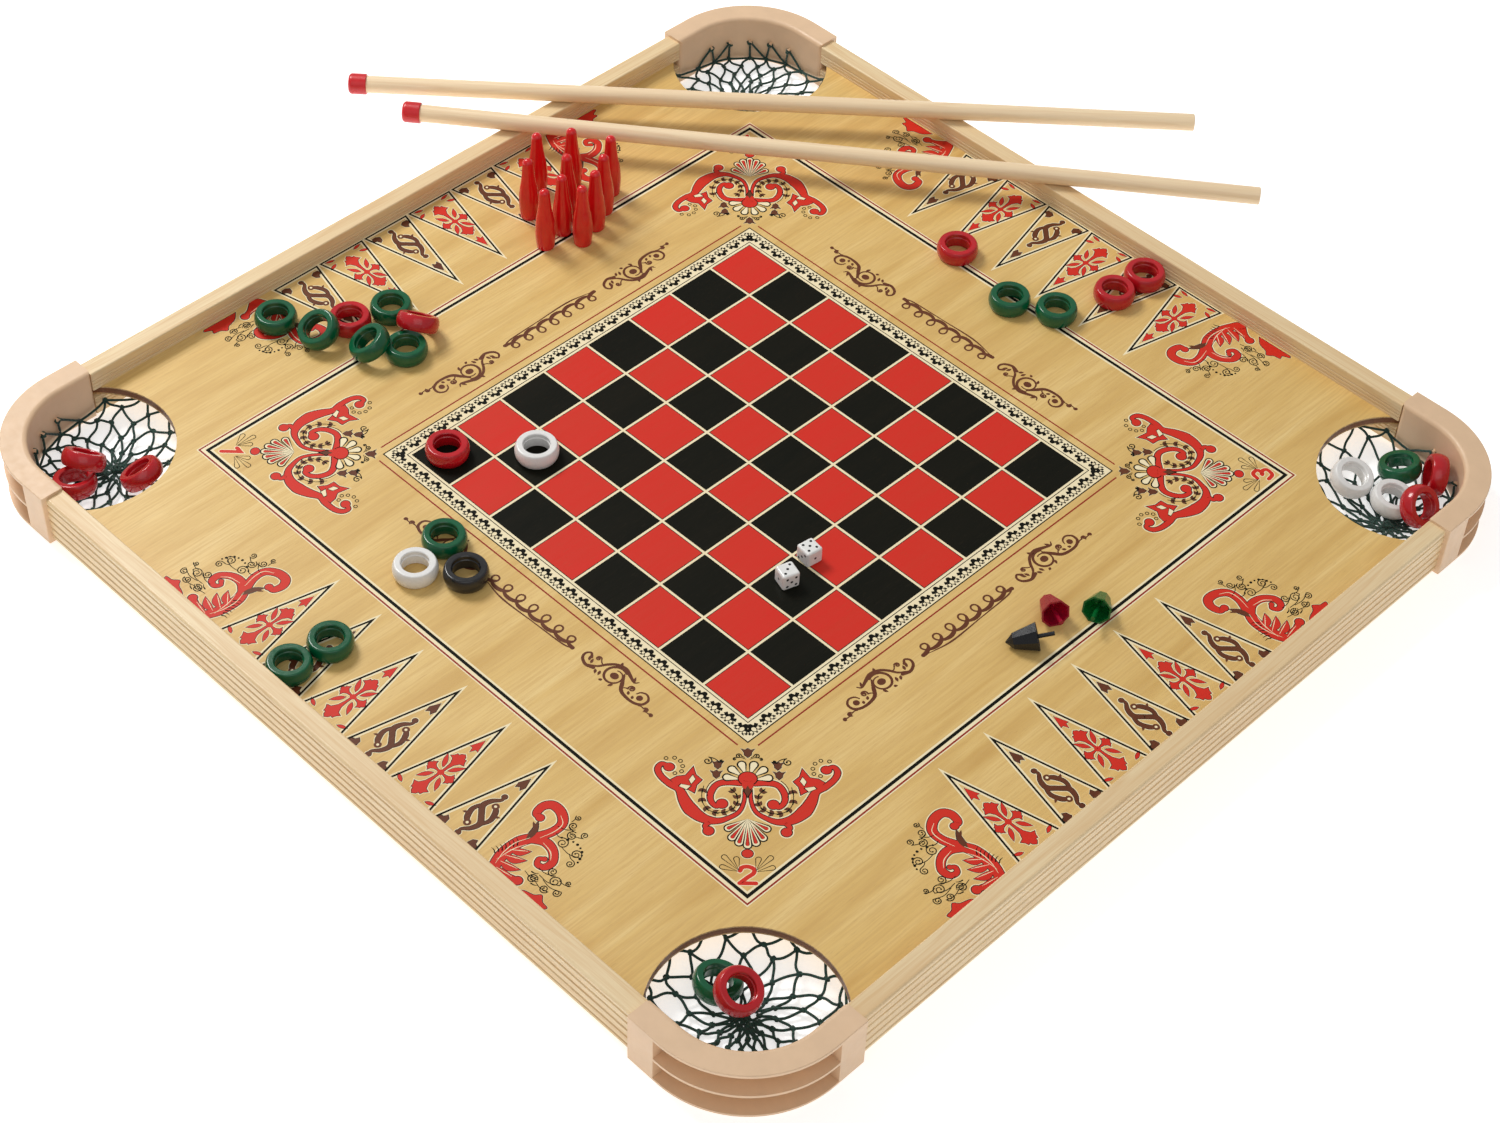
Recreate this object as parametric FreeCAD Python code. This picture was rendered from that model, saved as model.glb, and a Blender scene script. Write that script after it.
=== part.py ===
import FreeCAD, Part
import math
import os

from FreeCAD import Placement, Rotation, Vector

# A two-sided carrom game board with its loose playing pieces laid out on it.
# Units are millimetres, +Z is up, and the origin is the centre of the playing surface.

# ---------------------------------------------------------------- board
BOARD_WIDTH = 711.2         # across the corner castings, 28 in
PANEL_T = 6.35              # 1/4 in plywood playing panel
MID_Z = -PANEL_T / 2        # the board is the same above and below this level

RAIL_H = 34.9               # 1 3/8 in
RAIL_T = 13.4
RAIL_INNER = 339.1          # centre of the board to a rail's inner face
RAIL_GROOVE = 7.0           # depth of the groove that holds the panel
FLUTE_PITCH = 6.6           # V-grooves run along the rail's outer face
FLUTE_DEPTH = 1.4
FLUTE_HALF = 1.1
BEAD_HEIGHTS = (5.4, 8.2, 11.0)   # fine lines on the inner face, measured from MID_Z
BEAD_DEPTH = 0.8
BEAD_HALF = 0.55
RAIL_OUTER_ROUND = 1.8
RAIL_INNER_ROUND = 1.0
TONGUE_GAP = 0.4            # panel's corners stop this far short of the castings

# ---------------------------------------------------------------- corner castings
CAST_H = 39.0
CAST_BAND = 17.1            # radial width of the casting
CAST_OUT_R = 67.6           # outer corner radius
CAST_CENTRE = BOARD_WIDTH / 2 - CAST_OUT_R
CAST_IN_R = CAST_OUT_R - CAST_BAND
CAST_ARM_END = 264.7        # where the rail enters the casting
BLOCK_LEN = 20.0            # solid block at each end of a casting
FLANGE_T = 2.2
FIN_T = 2.0
INNER_WALL = 4.0
CAST_LIP_ROUND = 3.2
CAST_EDGE_ROUND = 0.7
PEG_R = 1.5                 # moulded pegs that carry the net's rim
PEG_OUT = 2.4
PEG_Z = -4.5
PEG_ANGLES = (9, 27, 45, 63, 81)

TENON_T = 8.0
TENON_H = 27.0
TENON_L = 16.0
TENON_MID = RAIL_INNER + RAIL_T / 2

# ---------------------------------------------------------------- pockets
POCKET_CENTRE = 299.2
POCKET_R = 57.0
NET_CENTRE = 297.0
NET_TOP_R = 61.0
NET_BOTTOM_R = 22.0
NET_BOTTOM_Z = -21.6
NET_WALL = 1.2
NET_SHOULDER_IN = 9.0       # the dish's profile, inwards from the rim
NET_SHOULDER_DROP = 0.45    # and down, as a share of its depth
NET_HEEL_OUT = 13.0         # outwards from the flat bottom
NET_HEEL_DROP = 0.86
NET_QUARTER_FROM = 200.0    # the net's side of the corner starts here
NET_GAP = 0.4
STAPLE_WIRE = 0.9
STAPLE_CROWN = 7.0
STAPLE_LEG = 4.0
STAPLE_R = 59.6
STAPLE_ANGLES = (172, 190, 208, 225, 242, 260, 278)

SCREW_HEAD_R = 3.2
SCREW_HEAD_H = 2.2
SCREW_SHANK_R = 1.6
SCREW_LEN = 18.0
SCREW_INSET = 8.0           # from the casting's end face
RECESS_ARM = 1.9            # cross recess in the screw's head
RECESS_HALF = 0.4
RECESS_DEPTH = 1.3

# ---------------------------------------------------------------- playing pieces
RING_R = 14.4
RING_FACE_R = 12.8
RING_H = 10.9
RING_BORE_R = 8.4
RING_MOUTH_R = 9.4
RING_EDGE = 1.2
RING_LAND = 2.0             # half height of the narrowest part of the bore
RING_LEAD = 0.5             # chamfers in the bore
LEAN_GAP = 0.5

PIN_H = 50.0
PIN_FOOT = (5.4, 0.0)       # radius and height of points on the pin's profile
PIN_HEEL = (6.1, 0.9)
PIN_BELLY = (7.0, 14.5)
PIN_WAIST = (5.3, 30.0)
PIN_NECK = (4.3, 38.5)
PIN_TIP_R = 3.7
CUE_LEN = 610.0
CUE_R = 6.2
CAP_R = 7.5
CAP_LEN = 13.0
CAP_BORE = 9.0
CAP_NOSE_ROUND = 2.6
CAP_MOUTH_ROUND = 0.5
CUE_TIP_ROUND = 0.8
CUE_GAP = 0.05              # under a cue, where it lies on the rails
DIE = 12.0
DIE_ROUND = 1.6
TOP_SIDES = 8
TOP_LEN = 19.9
TOP_R = 9.6
TOP_SHOULDER = 4.9
TOP_SHOULDER_R = 5.3
TOP_TIP_R = 0.35
TOP_WALL = 1.2
TOP_FLOOR = 7.0             # the hollow reaches down to this far from the tip
TOP_GAP = 0.02              # under a top, where it lies on its face
STEM_R = 1.35
STEM_LEN = 10.4             # beyond the top's open end

# x, y of the rings that lie flat on the playing surface
FLAT_RINGS = {
    "ring_green_1": (-310.0, -137.1),
    "ring_red_1": (-275.0, -102.5),
    "ring_green_3": (-265.6, -74.5),
    "ring_green_4": (-227.2, -93.7),
    "ring_red_3": (-47.3, 250.8),
    "ring_green_6": (12.9, 237.2),
    "ring_green_7": (42.0, 252.3),
    "ring_red_4": (57.2, 295.1),
    "ring_red_5": (59.8, 324.3),
    "ring_red_6": (-136.7, -135.9),
    "ring_white_1": (-97.2, -94.8),
    "ring_green_8": (-77.5, -189.3),
    "ring_white_2": (-70.6, -218.6),
    "ring_black_1": (-46.3, -198.6),
    "ring_green_9": (-60.9, -324.3),
    "ring_green_10": (-58.7, -294.9),
}

# rings that lean on another: the ring under it, the direction from that ring, the tilt
LEANING_RINGS = {
    "ring_green_2": ("ring_red_1", -93.0, 28.0),
    "ring_green_5": ("ring_green_4", -132.0, 30.0),
    "ring_red_2": ("ring_green_4", 117.0, 38.0),
}

# rings in the nets: x, y, z of the centre, tilt, direction that the axis leans to
POCKET_RINGS = {
    "left_pocket_red_rings": (
        (-289.4, -317.3, -12.4, 9.9, 151.2),
        (-294.7, -305.0, -3.7, 40.0, 115.3),
        (-262.4, -284.3, -7.2, 34.0, -160.3),
    ),
    "near_pocket_green_ring": ((270.0, -292.3, -9.5, 13.2, 78.8),),
    "near_pocket_red_ring": ((286.4, -292.8, -0.2, 25.9, 6.5),),
    "right_pocket_white_rings": (
        (272.0, 281.0, -7.7, 17.5, -0.3),
        (300.0, 288.4, -11.8, 8.8, 10.2),
    ),
    "right_pocket_green_ring": ((286.5, 314.3, -10.0, 16.9, -178.7),),
    "right_pocket_red_rings": (
        (319.5, 288.4, -4.0, 51.4, -0.9),
        (309.6, 319.4, -4.0, 82.6, -139.9),
    ),
}

PINS = (
    (-296.4, 85.3), (-284.1, 106.7), (-259.4, 121.0), (-279.2, 61.7), (-264.8, 84.6),
    (-247.5, 103.3), (-250.5, 67.0), (-238.6, 87.1), (-247.2, 48.1), (-232.6, 69.4),
)

# capped end x, y and heading of each cue, which rests across two rails
CUES = ((-459.8, 49.7, 43.07), (-408.4, 57.1, 38.28))

# x, y and turn of each die
DICE = ((90.9, -57.3, -17.6), (86.5, -33.2, -8.0))

# tip x, y and heading of the stem of each spinning top, which lies on one of its faces
TOPS = {
    "spinning_top_black": (218.6, 1.2, 47.5),
    "spinning_top_red": (210.2, 46.8, -29.7),
    "spinning_top_green": (234.2, 75.1, -65.2),
}

UP = Vector(0, 0, 1)
ORIGIN = Vector(0, 0, 0)


def export(name, shape):
    shape.exportStep("parts/" + name + ".step")


def prism(points, sweep):
    """Extrude the closed outline through the points along sweep."""
    wire = Part.makePolygon(points + [points[0]])
    return Part.Face(wire).extrude(sweep)


def turned(shape, degrees):
    """A copy of the shape turned about the board's vertical centre line."""
    copy = shape.copy()
    copy.rotate(ORIGIN, UP, degrees)
    return copy


def box(x0, x1, y0, y1, z0, z1):
    return Part.makeBox(x1 - x0, y1 - y0, z1 - z0, Vector(x0, y0, z0))


def edges_where(shape, test):
    return [e for e in shape.Edges if test(e)]


def middle(edge):
    return edge.valueAt((edge.FirstParameter + edge.LastParameter) / 2)


# ---------------------------------------------------------------- board pieces
def make_panel():
    """Plywood square whose tongues fill the rail grooves, with four round pocket openings."""
    half = RAIL_INNER + RAIL_GROOVE
    tongue = CAST_ARM_END - TONGUE_GAP
    panel = box(-half, half, -tongue, tongue, -PANEL_T, 0)
    panel = panel.fuse(box(-tongue, tongue, -half, half, -PANEL_T, 0))
    for sx in (-1, 1):
        for sy in (-1, 1):
            at = Vector(sx * POCKET_CENTRE, sy * POCKET_CENTRE, -PANEL_T - 1)
            panel = panel.cut(Part.makeCylinder(POCKET_R, PANEL_T + 2, at))
    return panel.removeSplitter()


def rail_section():
    """Outline of a rail, seen along its length: grooved for the panel, fluted outside."""
    inner = RAIL_INNER
    outer = RAIL_INNER + RAIL_T
    top = RAIL_H / 2
    flutes = []
    for k in (-2, -1, 0, 1, 2):
        z = k * FLUTE_PITCH
        flutes += [(outer, z - FLUTE_HALF), (outer - FLUTE_DEPTH, z), (outer, z + FLUTE_HALF)]
    upper = []
    for z in reversed(BEAD_HEIGHTS):
        upper += [(inner, z + BEAD_HALF), (inner + BEAD_DEPTH, z), (inner, z - BEAD_HALF)]
    lower = [(x, -z) for x, z in reversed(upper)]
    groove = [
        (inner, PANEL_T / 2),
        (inner + RAIL_GROOVE, PANEL_T / 2),
        (inner + RAIL_GROOVE, -PANEL_T / 2),
        (inner, -PANEL_T / 2),
    ]
    return [(inner, -top), (outer, -top)] + flutes + [(outer, top), (inner, top)] + upper + groove + lower


def make_rail():
    """The rail on the +X side, with a tenon at each end that plugs into a casting."""
    start = -CAST_ARM_END
    points = [Vector(x, start, MID_Z + z) for x, z in rail_section()]
    rail = prism(points, Vector(0, 2 * CAST_ARM_END, 0))

    def is_corner(edge, x):
        at = middle(edge)
        level = abs(at.z - MID_Z)
        return abs(at.x - x) < 0.01 and abs(level - RAIL_H / 2) < 0.01 and abs(at.y) < 1

    outer = edges_where(rail, lambda e: is_corner(e, RAIL_INNER + RAIL_T))
    rail = rail.makeFillet(RAIL_OUTER_ROUND, outer)
    inner = edges_where(rail, lambda e: is_corner(e, RAIL_INNER))
    rail = rail.makeFillet(RAIL_INNER_ROUND, inner)
    for side in (-1, 1):
        near = side * CAST_ARM_END
        far = side * (CAST_ARM_END + TENON_L)
        tenon = box(
            TENON_MID - TENON_T / 2, TENON_MID + TENON_T / 2,
            min(near, far), max(near, far),
            MID_Z - TENON_H / 2, MID_Z + TENON_H / 2,
        )
        rail = rail.fuse(tenon)
        rail = rail.cut(make_screw(TENON_MID, side * (CAST_ARM_END + SCREW_INSET), False))
    return rail.removeSplitter()


def make_screw(x, y, with_recess=True):
    """Countersunk screw, driven upwards from the casting's underside."""
    base = MID_Z - CAST_H / 2
    head = Part.makeCone(SCREW_HEAD_R, SCREW_SHANK_R, SCREW_HEAD_H, Vector(x, y, base))
    shank = Part.makeCylinder(SCREW_SHANK_R, SCREW_LEN - SCREW_HEAD_H, Vector(x, y, base + SCREW_HEAD_H))
    screw = head.fuse(shank)
    if with_recess:
        for dx, dy in ((RECESS_ARM, RECESS_HALF), (RECESS_HALF, RECESS_ARM)):
            screw = screw.cut(box(x - dx, x + dx, y - dy, y + dy, base - 1, base + RECESS_DEPTH))
    return screw


def casting_section(channelled):
    """Outline of the casting's band: radius from the corner's centre, height from MID_Z."""
    inside = CAST_IN_R
    back = CAST_IN_R + INNER_WALL
    out = CAST_OUT_R
    top = CAST_H / 2
    if not channelled:
        return [(inside, -top), (out, -top), (out, top), (inside, top)]
    web = top - FLANGE_T
    fin = FIN_T / 2
    return [
        (inside, -top), (out, -top), (out, -web), (back, -web),
        (back, -fin), (out, -fin), (out, fin), (back, fin),
        (back, web), (out, web), (out, top), (inside, top),
    ]


def make_casting():
    """The corner casting at (+X, +Y): a flanged quarter ring between two solid end blocks."""
    centre = CAST_CENTRE

    def section(channelled, y):
        return [Vector(centre + r, y, MID_Z + z) for r, z in casting_section(channelled)]

    wire = Part.makePolygon(section(True, centre) + [section(True, centre)[0]])
    bend = Part.Face(wire).revolve(Vector(centre, centre, 0), UP, 90)
    block_end = CAST_ARM_END + BLOCK_LEN
    arm = prism(section(True, centre), Vector(0, block_end - centre, 0))
    block = prism(section(False, block_end), Vector(0, -BLOCK_LEN, 0))
    side = arm.fuse(block)
    other = side.mirror(ORIGIN, Vector(1, -1, 0))
    casting = bend.fuse([side, other]).removeSplitter()

    def on_level(edge):
        ends = [edge.valueAt(edge.FirstParameter), edge.valueAt(edge.LastParameter)]
        return all(abs(abs(p.z - MID_Z) - CAST_H / 2) < 0.01 for p in ends)

    def from_band(edge, radius):
        at = middle(edge)
        x = max(at.x - centre, 0)
        y = max(at.y - centre, 0)
        return abs(math.hypot(x, y) - radius) < 0.05

    lips = edges_where(casting, lambda e: on_level(e) and from_band(e, CAST_IN_R))
    casting = casting.makeFillet(CAST_LIP_ROUND, lips)
    rims = edges_where(casting, lambda e: on_level(e) and from_band(e, CAST_OUT_R))
    casting = casting.makeFillet(CAST_EDGE_ROUND, rims)

    socket = box(
        TENON_MID - TENON_T / 2, TENON_MID + TENON_T / 2,
        CAST_ARM_END - 1, CAST_ARM_END + TENON_L,
        MID_Z - TENON_H / 2, MID_Z + TENON_H / 2,
    )
    hole = make_screw(TENON_MID, CAST_ARM_END + SCREW_INSET, False)
    for tool in (socket, hole):
        casting = casting.cut(tool)
        casting = casting.cut(tool.mirror(ORIGIN, Vector(1, -1, 0)))
    for angle in PEG_ANGLES:
        a = math.radians(angle)
        outward = Vector(math.cos(a), math.sin(a), 0)
        start = Vector(centre, centre, PEG_Z) + outward * (CAST_IN_R - PEG_OUT)
        casting = casting.fuse(Part.makeCylinder(PEG_R, PEG_OUT + 1, start, outward))
    return casting.removeSplitter()


def make_corner_screws():
    """Eight screws, two to a casting, each through a casting's floor into a tenon."""
    along = CAST_ARM_END + SCREW_INSET
    pair = [make_screw(TENON_MID, along), make_screw(along, TENON_MID)]
    return Part.makeCompound([turned(s, 90 * k) for k in range(4) for s in pair])


# ---------------------------------------------------------------- pocket nets
def pocket_prism(inset):
    """The space inside the rails and the casting at (+X, +Y), drawn in by inset."""
    low = NET_QUARTER_FROM
    reach = CAST_CENTRE + CAST_IN_R - inset
    z0 = MID_Z - CAST_H
    z1 = 0.0
    space = box(low, reach, low, CAST_CENTRE, z0, z1)
    space = space.fuse(box(low, CAST_CENTRE, low, reach, z0, z1))
    corner = Part.makeCylinder(CAST_IN_R - inset, z1 - z0, Vector(CAST_CENTRE, CAST_CENTRE, z0))
    return space.fuse(corner).removeSplitter()


def bowl(inset):
    """A round dish that narrows downwards, drawn in by inset."""
    top = -PANEL_T
    depth = NET_BOTTOM_Z + inset - top
    rim = (NET_TOP_R - inset, top)
    shoulder = (NET_TOP_R - inset - NET_SHOULDER_IN, top + NET_SHOULDER_DROP * depth)
    heel = (NET_BOTTOM_R + NET_HEEL_OUT - inset, top + NET_HEEL_DROP * depth)
    foot = (NET_BOTTOM_R - inset, top + depth)
    profile = [(0, top), rim, shoulder, heel, foot, (0, top + depth), (0, top)]
    wire = Part.makePolygon([Vector(r, 0, z) for r, z in profile])
    dish = Part.Face(wire).revolve(ORIGIN, UP, 360)
    dish.translate(Vector(NET_CENTRE, NET_CENTRE, 0))
    return dish


def make_net():
    """The net at (+X, +Y), as the thin skin that its meshes lie in."""
    outside = bowl(0).common(pocket_prism(NET_GAP))
    inside = bowl(NET_WALL).common(pocket_prism(NET_GAP + NET_WALL))
    return outside.cut(inside).removeSplitter()


def make_staple(angle):
    """A wire staple driven up into the panel's underside, round the pocket at (+X, +Y)."""
    half = STAPLE_CROWN / 2
    wire = STAPLE_WIRE / 2
    top = -PANEL_T
    staple = box(-wire, wire, -half, half, top - 2 * wire, top)
    for side in (-1, 1):
        y = side * (half - wire)
        staple = staple.fuse(box(-wire, wire, y - wire, y + wire, top - wire, top + STAPLE_LEG))
    staple = staple.removeSplitter()
    staple.rotate(ORIGIN, UP, angle)
    a = math.radians(angle)
    out = Vector(STAPLE_R * math.cos(a), STAPLE_R * math.sin(a), 0)
    staple.translate(Vector(POCKET_CENTRE, POCKET_CENTRE, 0) + out)
    return staple


def make_net_staples():
    one_corner = [make_staple(a) for a in STAPLE_ANGLES]
    return Part.makeCompound([turned(s, 90 * k) for k in range(4) for s in one_corner])


# ---------------------------------------------------------------- playing pieces
def make_ring():
    """A barrel-sided ring about the origin, with a stepped bore."""
    half = RING_H / 2
    land = RING_LAND
    lead = RING_LEAD
    face_out = Vector(RING_FACE_R, 0, half)
    outline = [
        Part.Arc(Vector(RING_FACE_R, 0, -half), Vector(RING_R, 0, 0), face_out).toShape(),
        Part.makeLine(face_out, Vector(RING_MOUTH_R, 0, half)),
    ]
    bore = [
        (RING_MOUTH_R, half), (RING_MOUTH_R - lead, half - lead), (RING_MOUTH_R - lead, land + lead),
        (RING_BORE_R, land), (RING_BORE_R, -land), (RING_MOUTH_R - lead, -land - lead),
        (RING_MOUTH_R - lead, lead - half), (RING_MOUTH_R, -half), (RING_FACE_R, -half),
    ]
    for start, end in zip(bore, bore[1:]):
        outline.append(Part.makeLine(Vector(start[0], 0, start[1]), Vector(end[0], 0, end[1])))
    ring = Part.Face(Part.Wire(outline)).revolve(ORIGIN, UP, 360)

    def is_shoulder(edge):
        at = middle(edge)
        return abs(math.hypot(at.x, at.y) - RING_FACE_R) < 0.01 and abs(abs(at.z) - half) < 0.01

    return ring.makeFillet(RING_EDGE, edges_where(ring, is_shoulder))


def tilted(ring, x, y, z, tilt, lean):
    """Place a ring's centre at x, y, z with its axis tilted towards the lean direction."""
    t = math.radians(tilt)
    a = math.radians(lean)
    axis = Vector(math.sin(t) * math.cos(a), math.sin(t) * math.sin(a), math.cos(t))
    placed = ring.copy()
    placed.Placement = Placement(Vector(x, y, z), Rotation(UP, axis))
    return placed


def leaning_ring(ring, under, direction, tilt):
    """A ring with one edge on the playing surface and its underside on another ring's rim."""
    t = math.radians(tilt)
    edge_reach = RING_FACE_R * math.cos(t) - RING_H / 2 * math.sin(t)
    offset = RING_FACE_R + RING_H / math.tan(t) - edge_reach + LEAN_GAP
    height = RING_FACE_R * math.sin(t) + RING_H / 2 * math.cos(t)
    a = math.radians(direction)
    x = FLAT_RINGS[under][0] + offset * math.cos(a)
    y = FLAT_RINGS[under][1] + offset * math.sin(a)
    return tilted(ring, x, y, height, tilt, direction)


def make_pin():
    """A slim skittle: a full belly that tapers to a round tip."""
    shoulder = PIN_H - PIN_TIP_R
    dome = PIN_TIP_R * math.sqrt(0.5)
    foot, heel, belly, waist, neck, start, side, crown = [
        Vector(r, 0, z)
        for r, z in (
            PIN_FOOT, PIN_HEEL, PIN_BELLY, PIN_WAIST, PIN_NECK,
            (PIN_TIP_R, shoulder), (dome, shoulder + dome), (0, PIN_H),
        )
    ]
    outline = [
        Part.makeLine(ORIGIN, foot),
        Part.makeLine(foot, heel),
        Part.Arc(heel, belly, waist).toShape(),
        Part.Arc(waist, neck, start).toShape(),
        Part.Arc(start, side, crown).toShape(),
        Part.makeLine(crown, ORIGIN),
    ]
    return Part.Face(Part.Wire(outline)).revolve(ORIGIN, UP, 360)


def cue_placement(x, y, heading):
    height = MID_Z + RAIL_H / 2 + CUE_R + CUE_GAP
    along = Vector(math.cos(math.radians(heading)), math.sin(math.radians(heading)), 0)
    return Placement(Vector(x, y, height), Rotation(UP, along))


def make_cue_shaft():
    """Straight wooden shaft along +Z, its capped end CAP_LEN - CAP_BORE above the origin."""
    start = CAP_LEN - CAP_BORE
    shaft = Part.makeCylinder(CUE_R, CUE_LEN - start, Vector(0, 0, start))
    far = edges_where(shaft, lambda e: abs(middle(e).z - CUE_LEN) < 0.01 and len(e.Vertexes) == 1)
    return shaft.makeFillet(CUE_TIP_ROUND, far)


def make_cue_cap():
    """Plastic cap that is pushed over the end of the shaft."""
    cap = Part.makeCylinder(CAP_R, CAP_LEN)
    nose = edges_where(cap, lambda e: abs(middle(e).z) < 0.01 and len(e.Vertexes) == 1)
    cap = cap.makeFillet(CAP_NOSE_ROUND, nose)
    mouth = edges_where(cap, lambda e: abs(middle(e).z - CAP_LEN) < 0.01 and len(e.Vertexes) == 1)
    cap = cap.makeFillet(CAP_MOUTH_ROUND, mouth)
    return cap.cut(Part.makeCylinder(CUE_R, CAP_BORE + 1, Vector(0, 0, CAP_LEN - CAP_BORE)))


def make_die(x, y, turn):
    cube = Part.makeBox(DIE, DIE, DIE, Vector(-DIE / 2, -DIE / 2, 0))
    cube = cube.makeFillet(DIE_ROUND, cube.Edges)
    cube.Placement = Placement(Vector(x, y, 0), Rotation(UP, turn))
    return cube


def octagon(radius, height):
    """Outline of a top across its axis, with one flat side towards the local +X."""
    points = []
    for k in range(TOP_SIDES + 1):
        a = math.pi * (2 * k + 1) / TOP_SIDES
        points.append(Vector(radius * math.cos(a), radius * math.sin(a), height))
    return Part.makePolygon(points)


def make_top(x, y, heading):
    """An eight-sided spinning top lying on one face, its tip at x, y and its stem along heading.

    Behind its shoulder it is a hollow cup, and the stem stands on the cup's floor."""
    spread = (TOP_R - TOP_SHOULDER_R) / (TOP_LEN - TOP_SHOULDER)
    floor_r = TOP_SHOULDER_R + spread * (TOP_FLOOR - TOP_SHOULDER) - TOP_WALL
    outside = [octagon(TOP_TIP_R, 0), octagon(TOP_SHOULDER_R, TOP_SHOULDER), octagon(TOP_R, TOP_LEN)]
    inside = [octagon(floor_r, TOP_FLOOR), octagon(TOP_R - TOP_WALL, TOP_LEN)]
    cup = Part.makeLoft(outside, True, True).cut(Part.makeLoft(inside, True, True))
    below = Vector(0, 0, TOP_FLOOR - 1)
    top = cup.fuse(Part.makeCylinder(STEM_R, TOP_LEN + STEM_LEN - below.z, below))
    flat = math.cos(math.pi / TOP_SIDES)
    slope = math.atan(spread * flat)
    drop = (TOP_SHOULDER_R * flat - TOP_SHOULDER * math.tan(slope)) * math.cos(slope)
    # the face in the local +X direction is turned down, and the axis rises towards the stem
    lay = Rotation(Vector(0, 1, 0), 90 - math.degrees(slope))
    aim = Rotation(UP, heading)
    top.Placement = Placement(Vector(x, y, drop + TOP_GAP), aim.multiply(lay))
    return top


def main():
    os.makedirs("parts", exist_ok=True)
    export("playing_panel", make_panel())
    rail = make_rail()
    for name, turn in (("near_right", 0), ("far_right", 90), ("far_left", 180), ("near_left", 270)):
        export("rail_" + name, turned(rail, turn))
    casting = make_casting()
    net = make_net()
    for name, turn in (("right", 0), ("far", 90), ("left", 180), ("near", 270)):
        export("corner_casting_" + name, turned(casting, turn))
        export("pocket_net_" + name, turned(net, turn))
    export("corner_screws", make_corner_screws())
    export("net_staples", make_net_staples())

    ring = make_ring()
    for name, (x, y) in FLAT_RINGS.items():
        export(name, tilted(ring, x, y, RING_H / 2, 0, 0))
    for name, (under, direction, tilt) in LEANING_RINGS.items():
        export(name, leaning_ring(ring, under, direction, tilt))
    for name, places in POCKET_RINGS.items():
        rings = [tilted(ring, *place) for place in places]
        export(name, rings[0] if len(rings) == 1 else Part.makeCompound(rings))

    pin = make_pin()
    for number, (x, y) in enumerate(PINS, 1):
        placed = pin.copy()
        placed.translate(Vector(x, y, 0))
        export("pin_" + str(number), placed)
    shaft = make_cue_shaft()
    cap = make_cue_cap()
    for number, (x, y, heading) in enumerate(CUES, 1):
        for part_name, piece in (("shaft", shaft), ("cap", cap)):
            placed = piece.copy()
            placed.Placement = cue_placement(x, y, heading)
            export("cue_" + part_name + "_" + str(number), placed)
    for number, (x, y, turn) in enumerate(DICE, 1):
        export("die_" + str(number), make_die(x, y, turn))
    for name, (x, y, heading) in TOPS.items():
        export(name, make_top(x, y, heading))


main()
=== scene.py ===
import bisect
import cmath
import math
import random

import bpy
from mathutils import Matrix, Vector, geometry


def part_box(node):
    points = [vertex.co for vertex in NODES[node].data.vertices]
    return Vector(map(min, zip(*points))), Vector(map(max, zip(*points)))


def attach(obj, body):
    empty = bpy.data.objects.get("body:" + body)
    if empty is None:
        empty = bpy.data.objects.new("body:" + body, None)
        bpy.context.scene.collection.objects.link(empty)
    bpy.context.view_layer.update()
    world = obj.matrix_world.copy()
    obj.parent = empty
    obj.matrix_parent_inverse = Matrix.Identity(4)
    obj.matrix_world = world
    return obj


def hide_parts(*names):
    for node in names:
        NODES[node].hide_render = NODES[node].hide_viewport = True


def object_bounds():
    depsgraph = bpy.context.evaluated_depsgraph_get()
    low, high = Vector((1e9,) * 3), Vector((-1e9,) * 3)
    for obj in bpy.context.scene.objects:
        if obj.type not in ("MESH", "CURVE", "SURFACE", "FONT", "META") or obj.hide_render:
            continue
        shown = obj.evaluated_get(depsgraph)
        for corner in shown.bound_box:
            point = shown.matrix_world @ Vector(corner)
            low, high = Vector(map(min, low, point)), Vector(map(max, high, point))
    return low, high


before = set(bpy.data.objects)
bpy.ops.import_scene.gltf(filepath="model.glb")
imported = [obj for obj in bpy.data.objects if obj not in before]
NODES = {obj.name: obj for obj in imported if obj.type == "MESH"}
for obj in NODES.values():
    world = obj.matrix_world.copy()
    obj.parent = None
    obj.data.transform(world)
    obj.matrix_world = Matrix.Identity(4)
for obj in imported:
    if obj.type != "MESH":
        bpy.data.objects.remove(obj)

CAD_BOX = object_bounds()
MM = 0.001
TAU = 2 * math.pi
CORNER_TURNS = {"right": 0, "far": 1, "left": 2, "near": 3}


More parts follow.
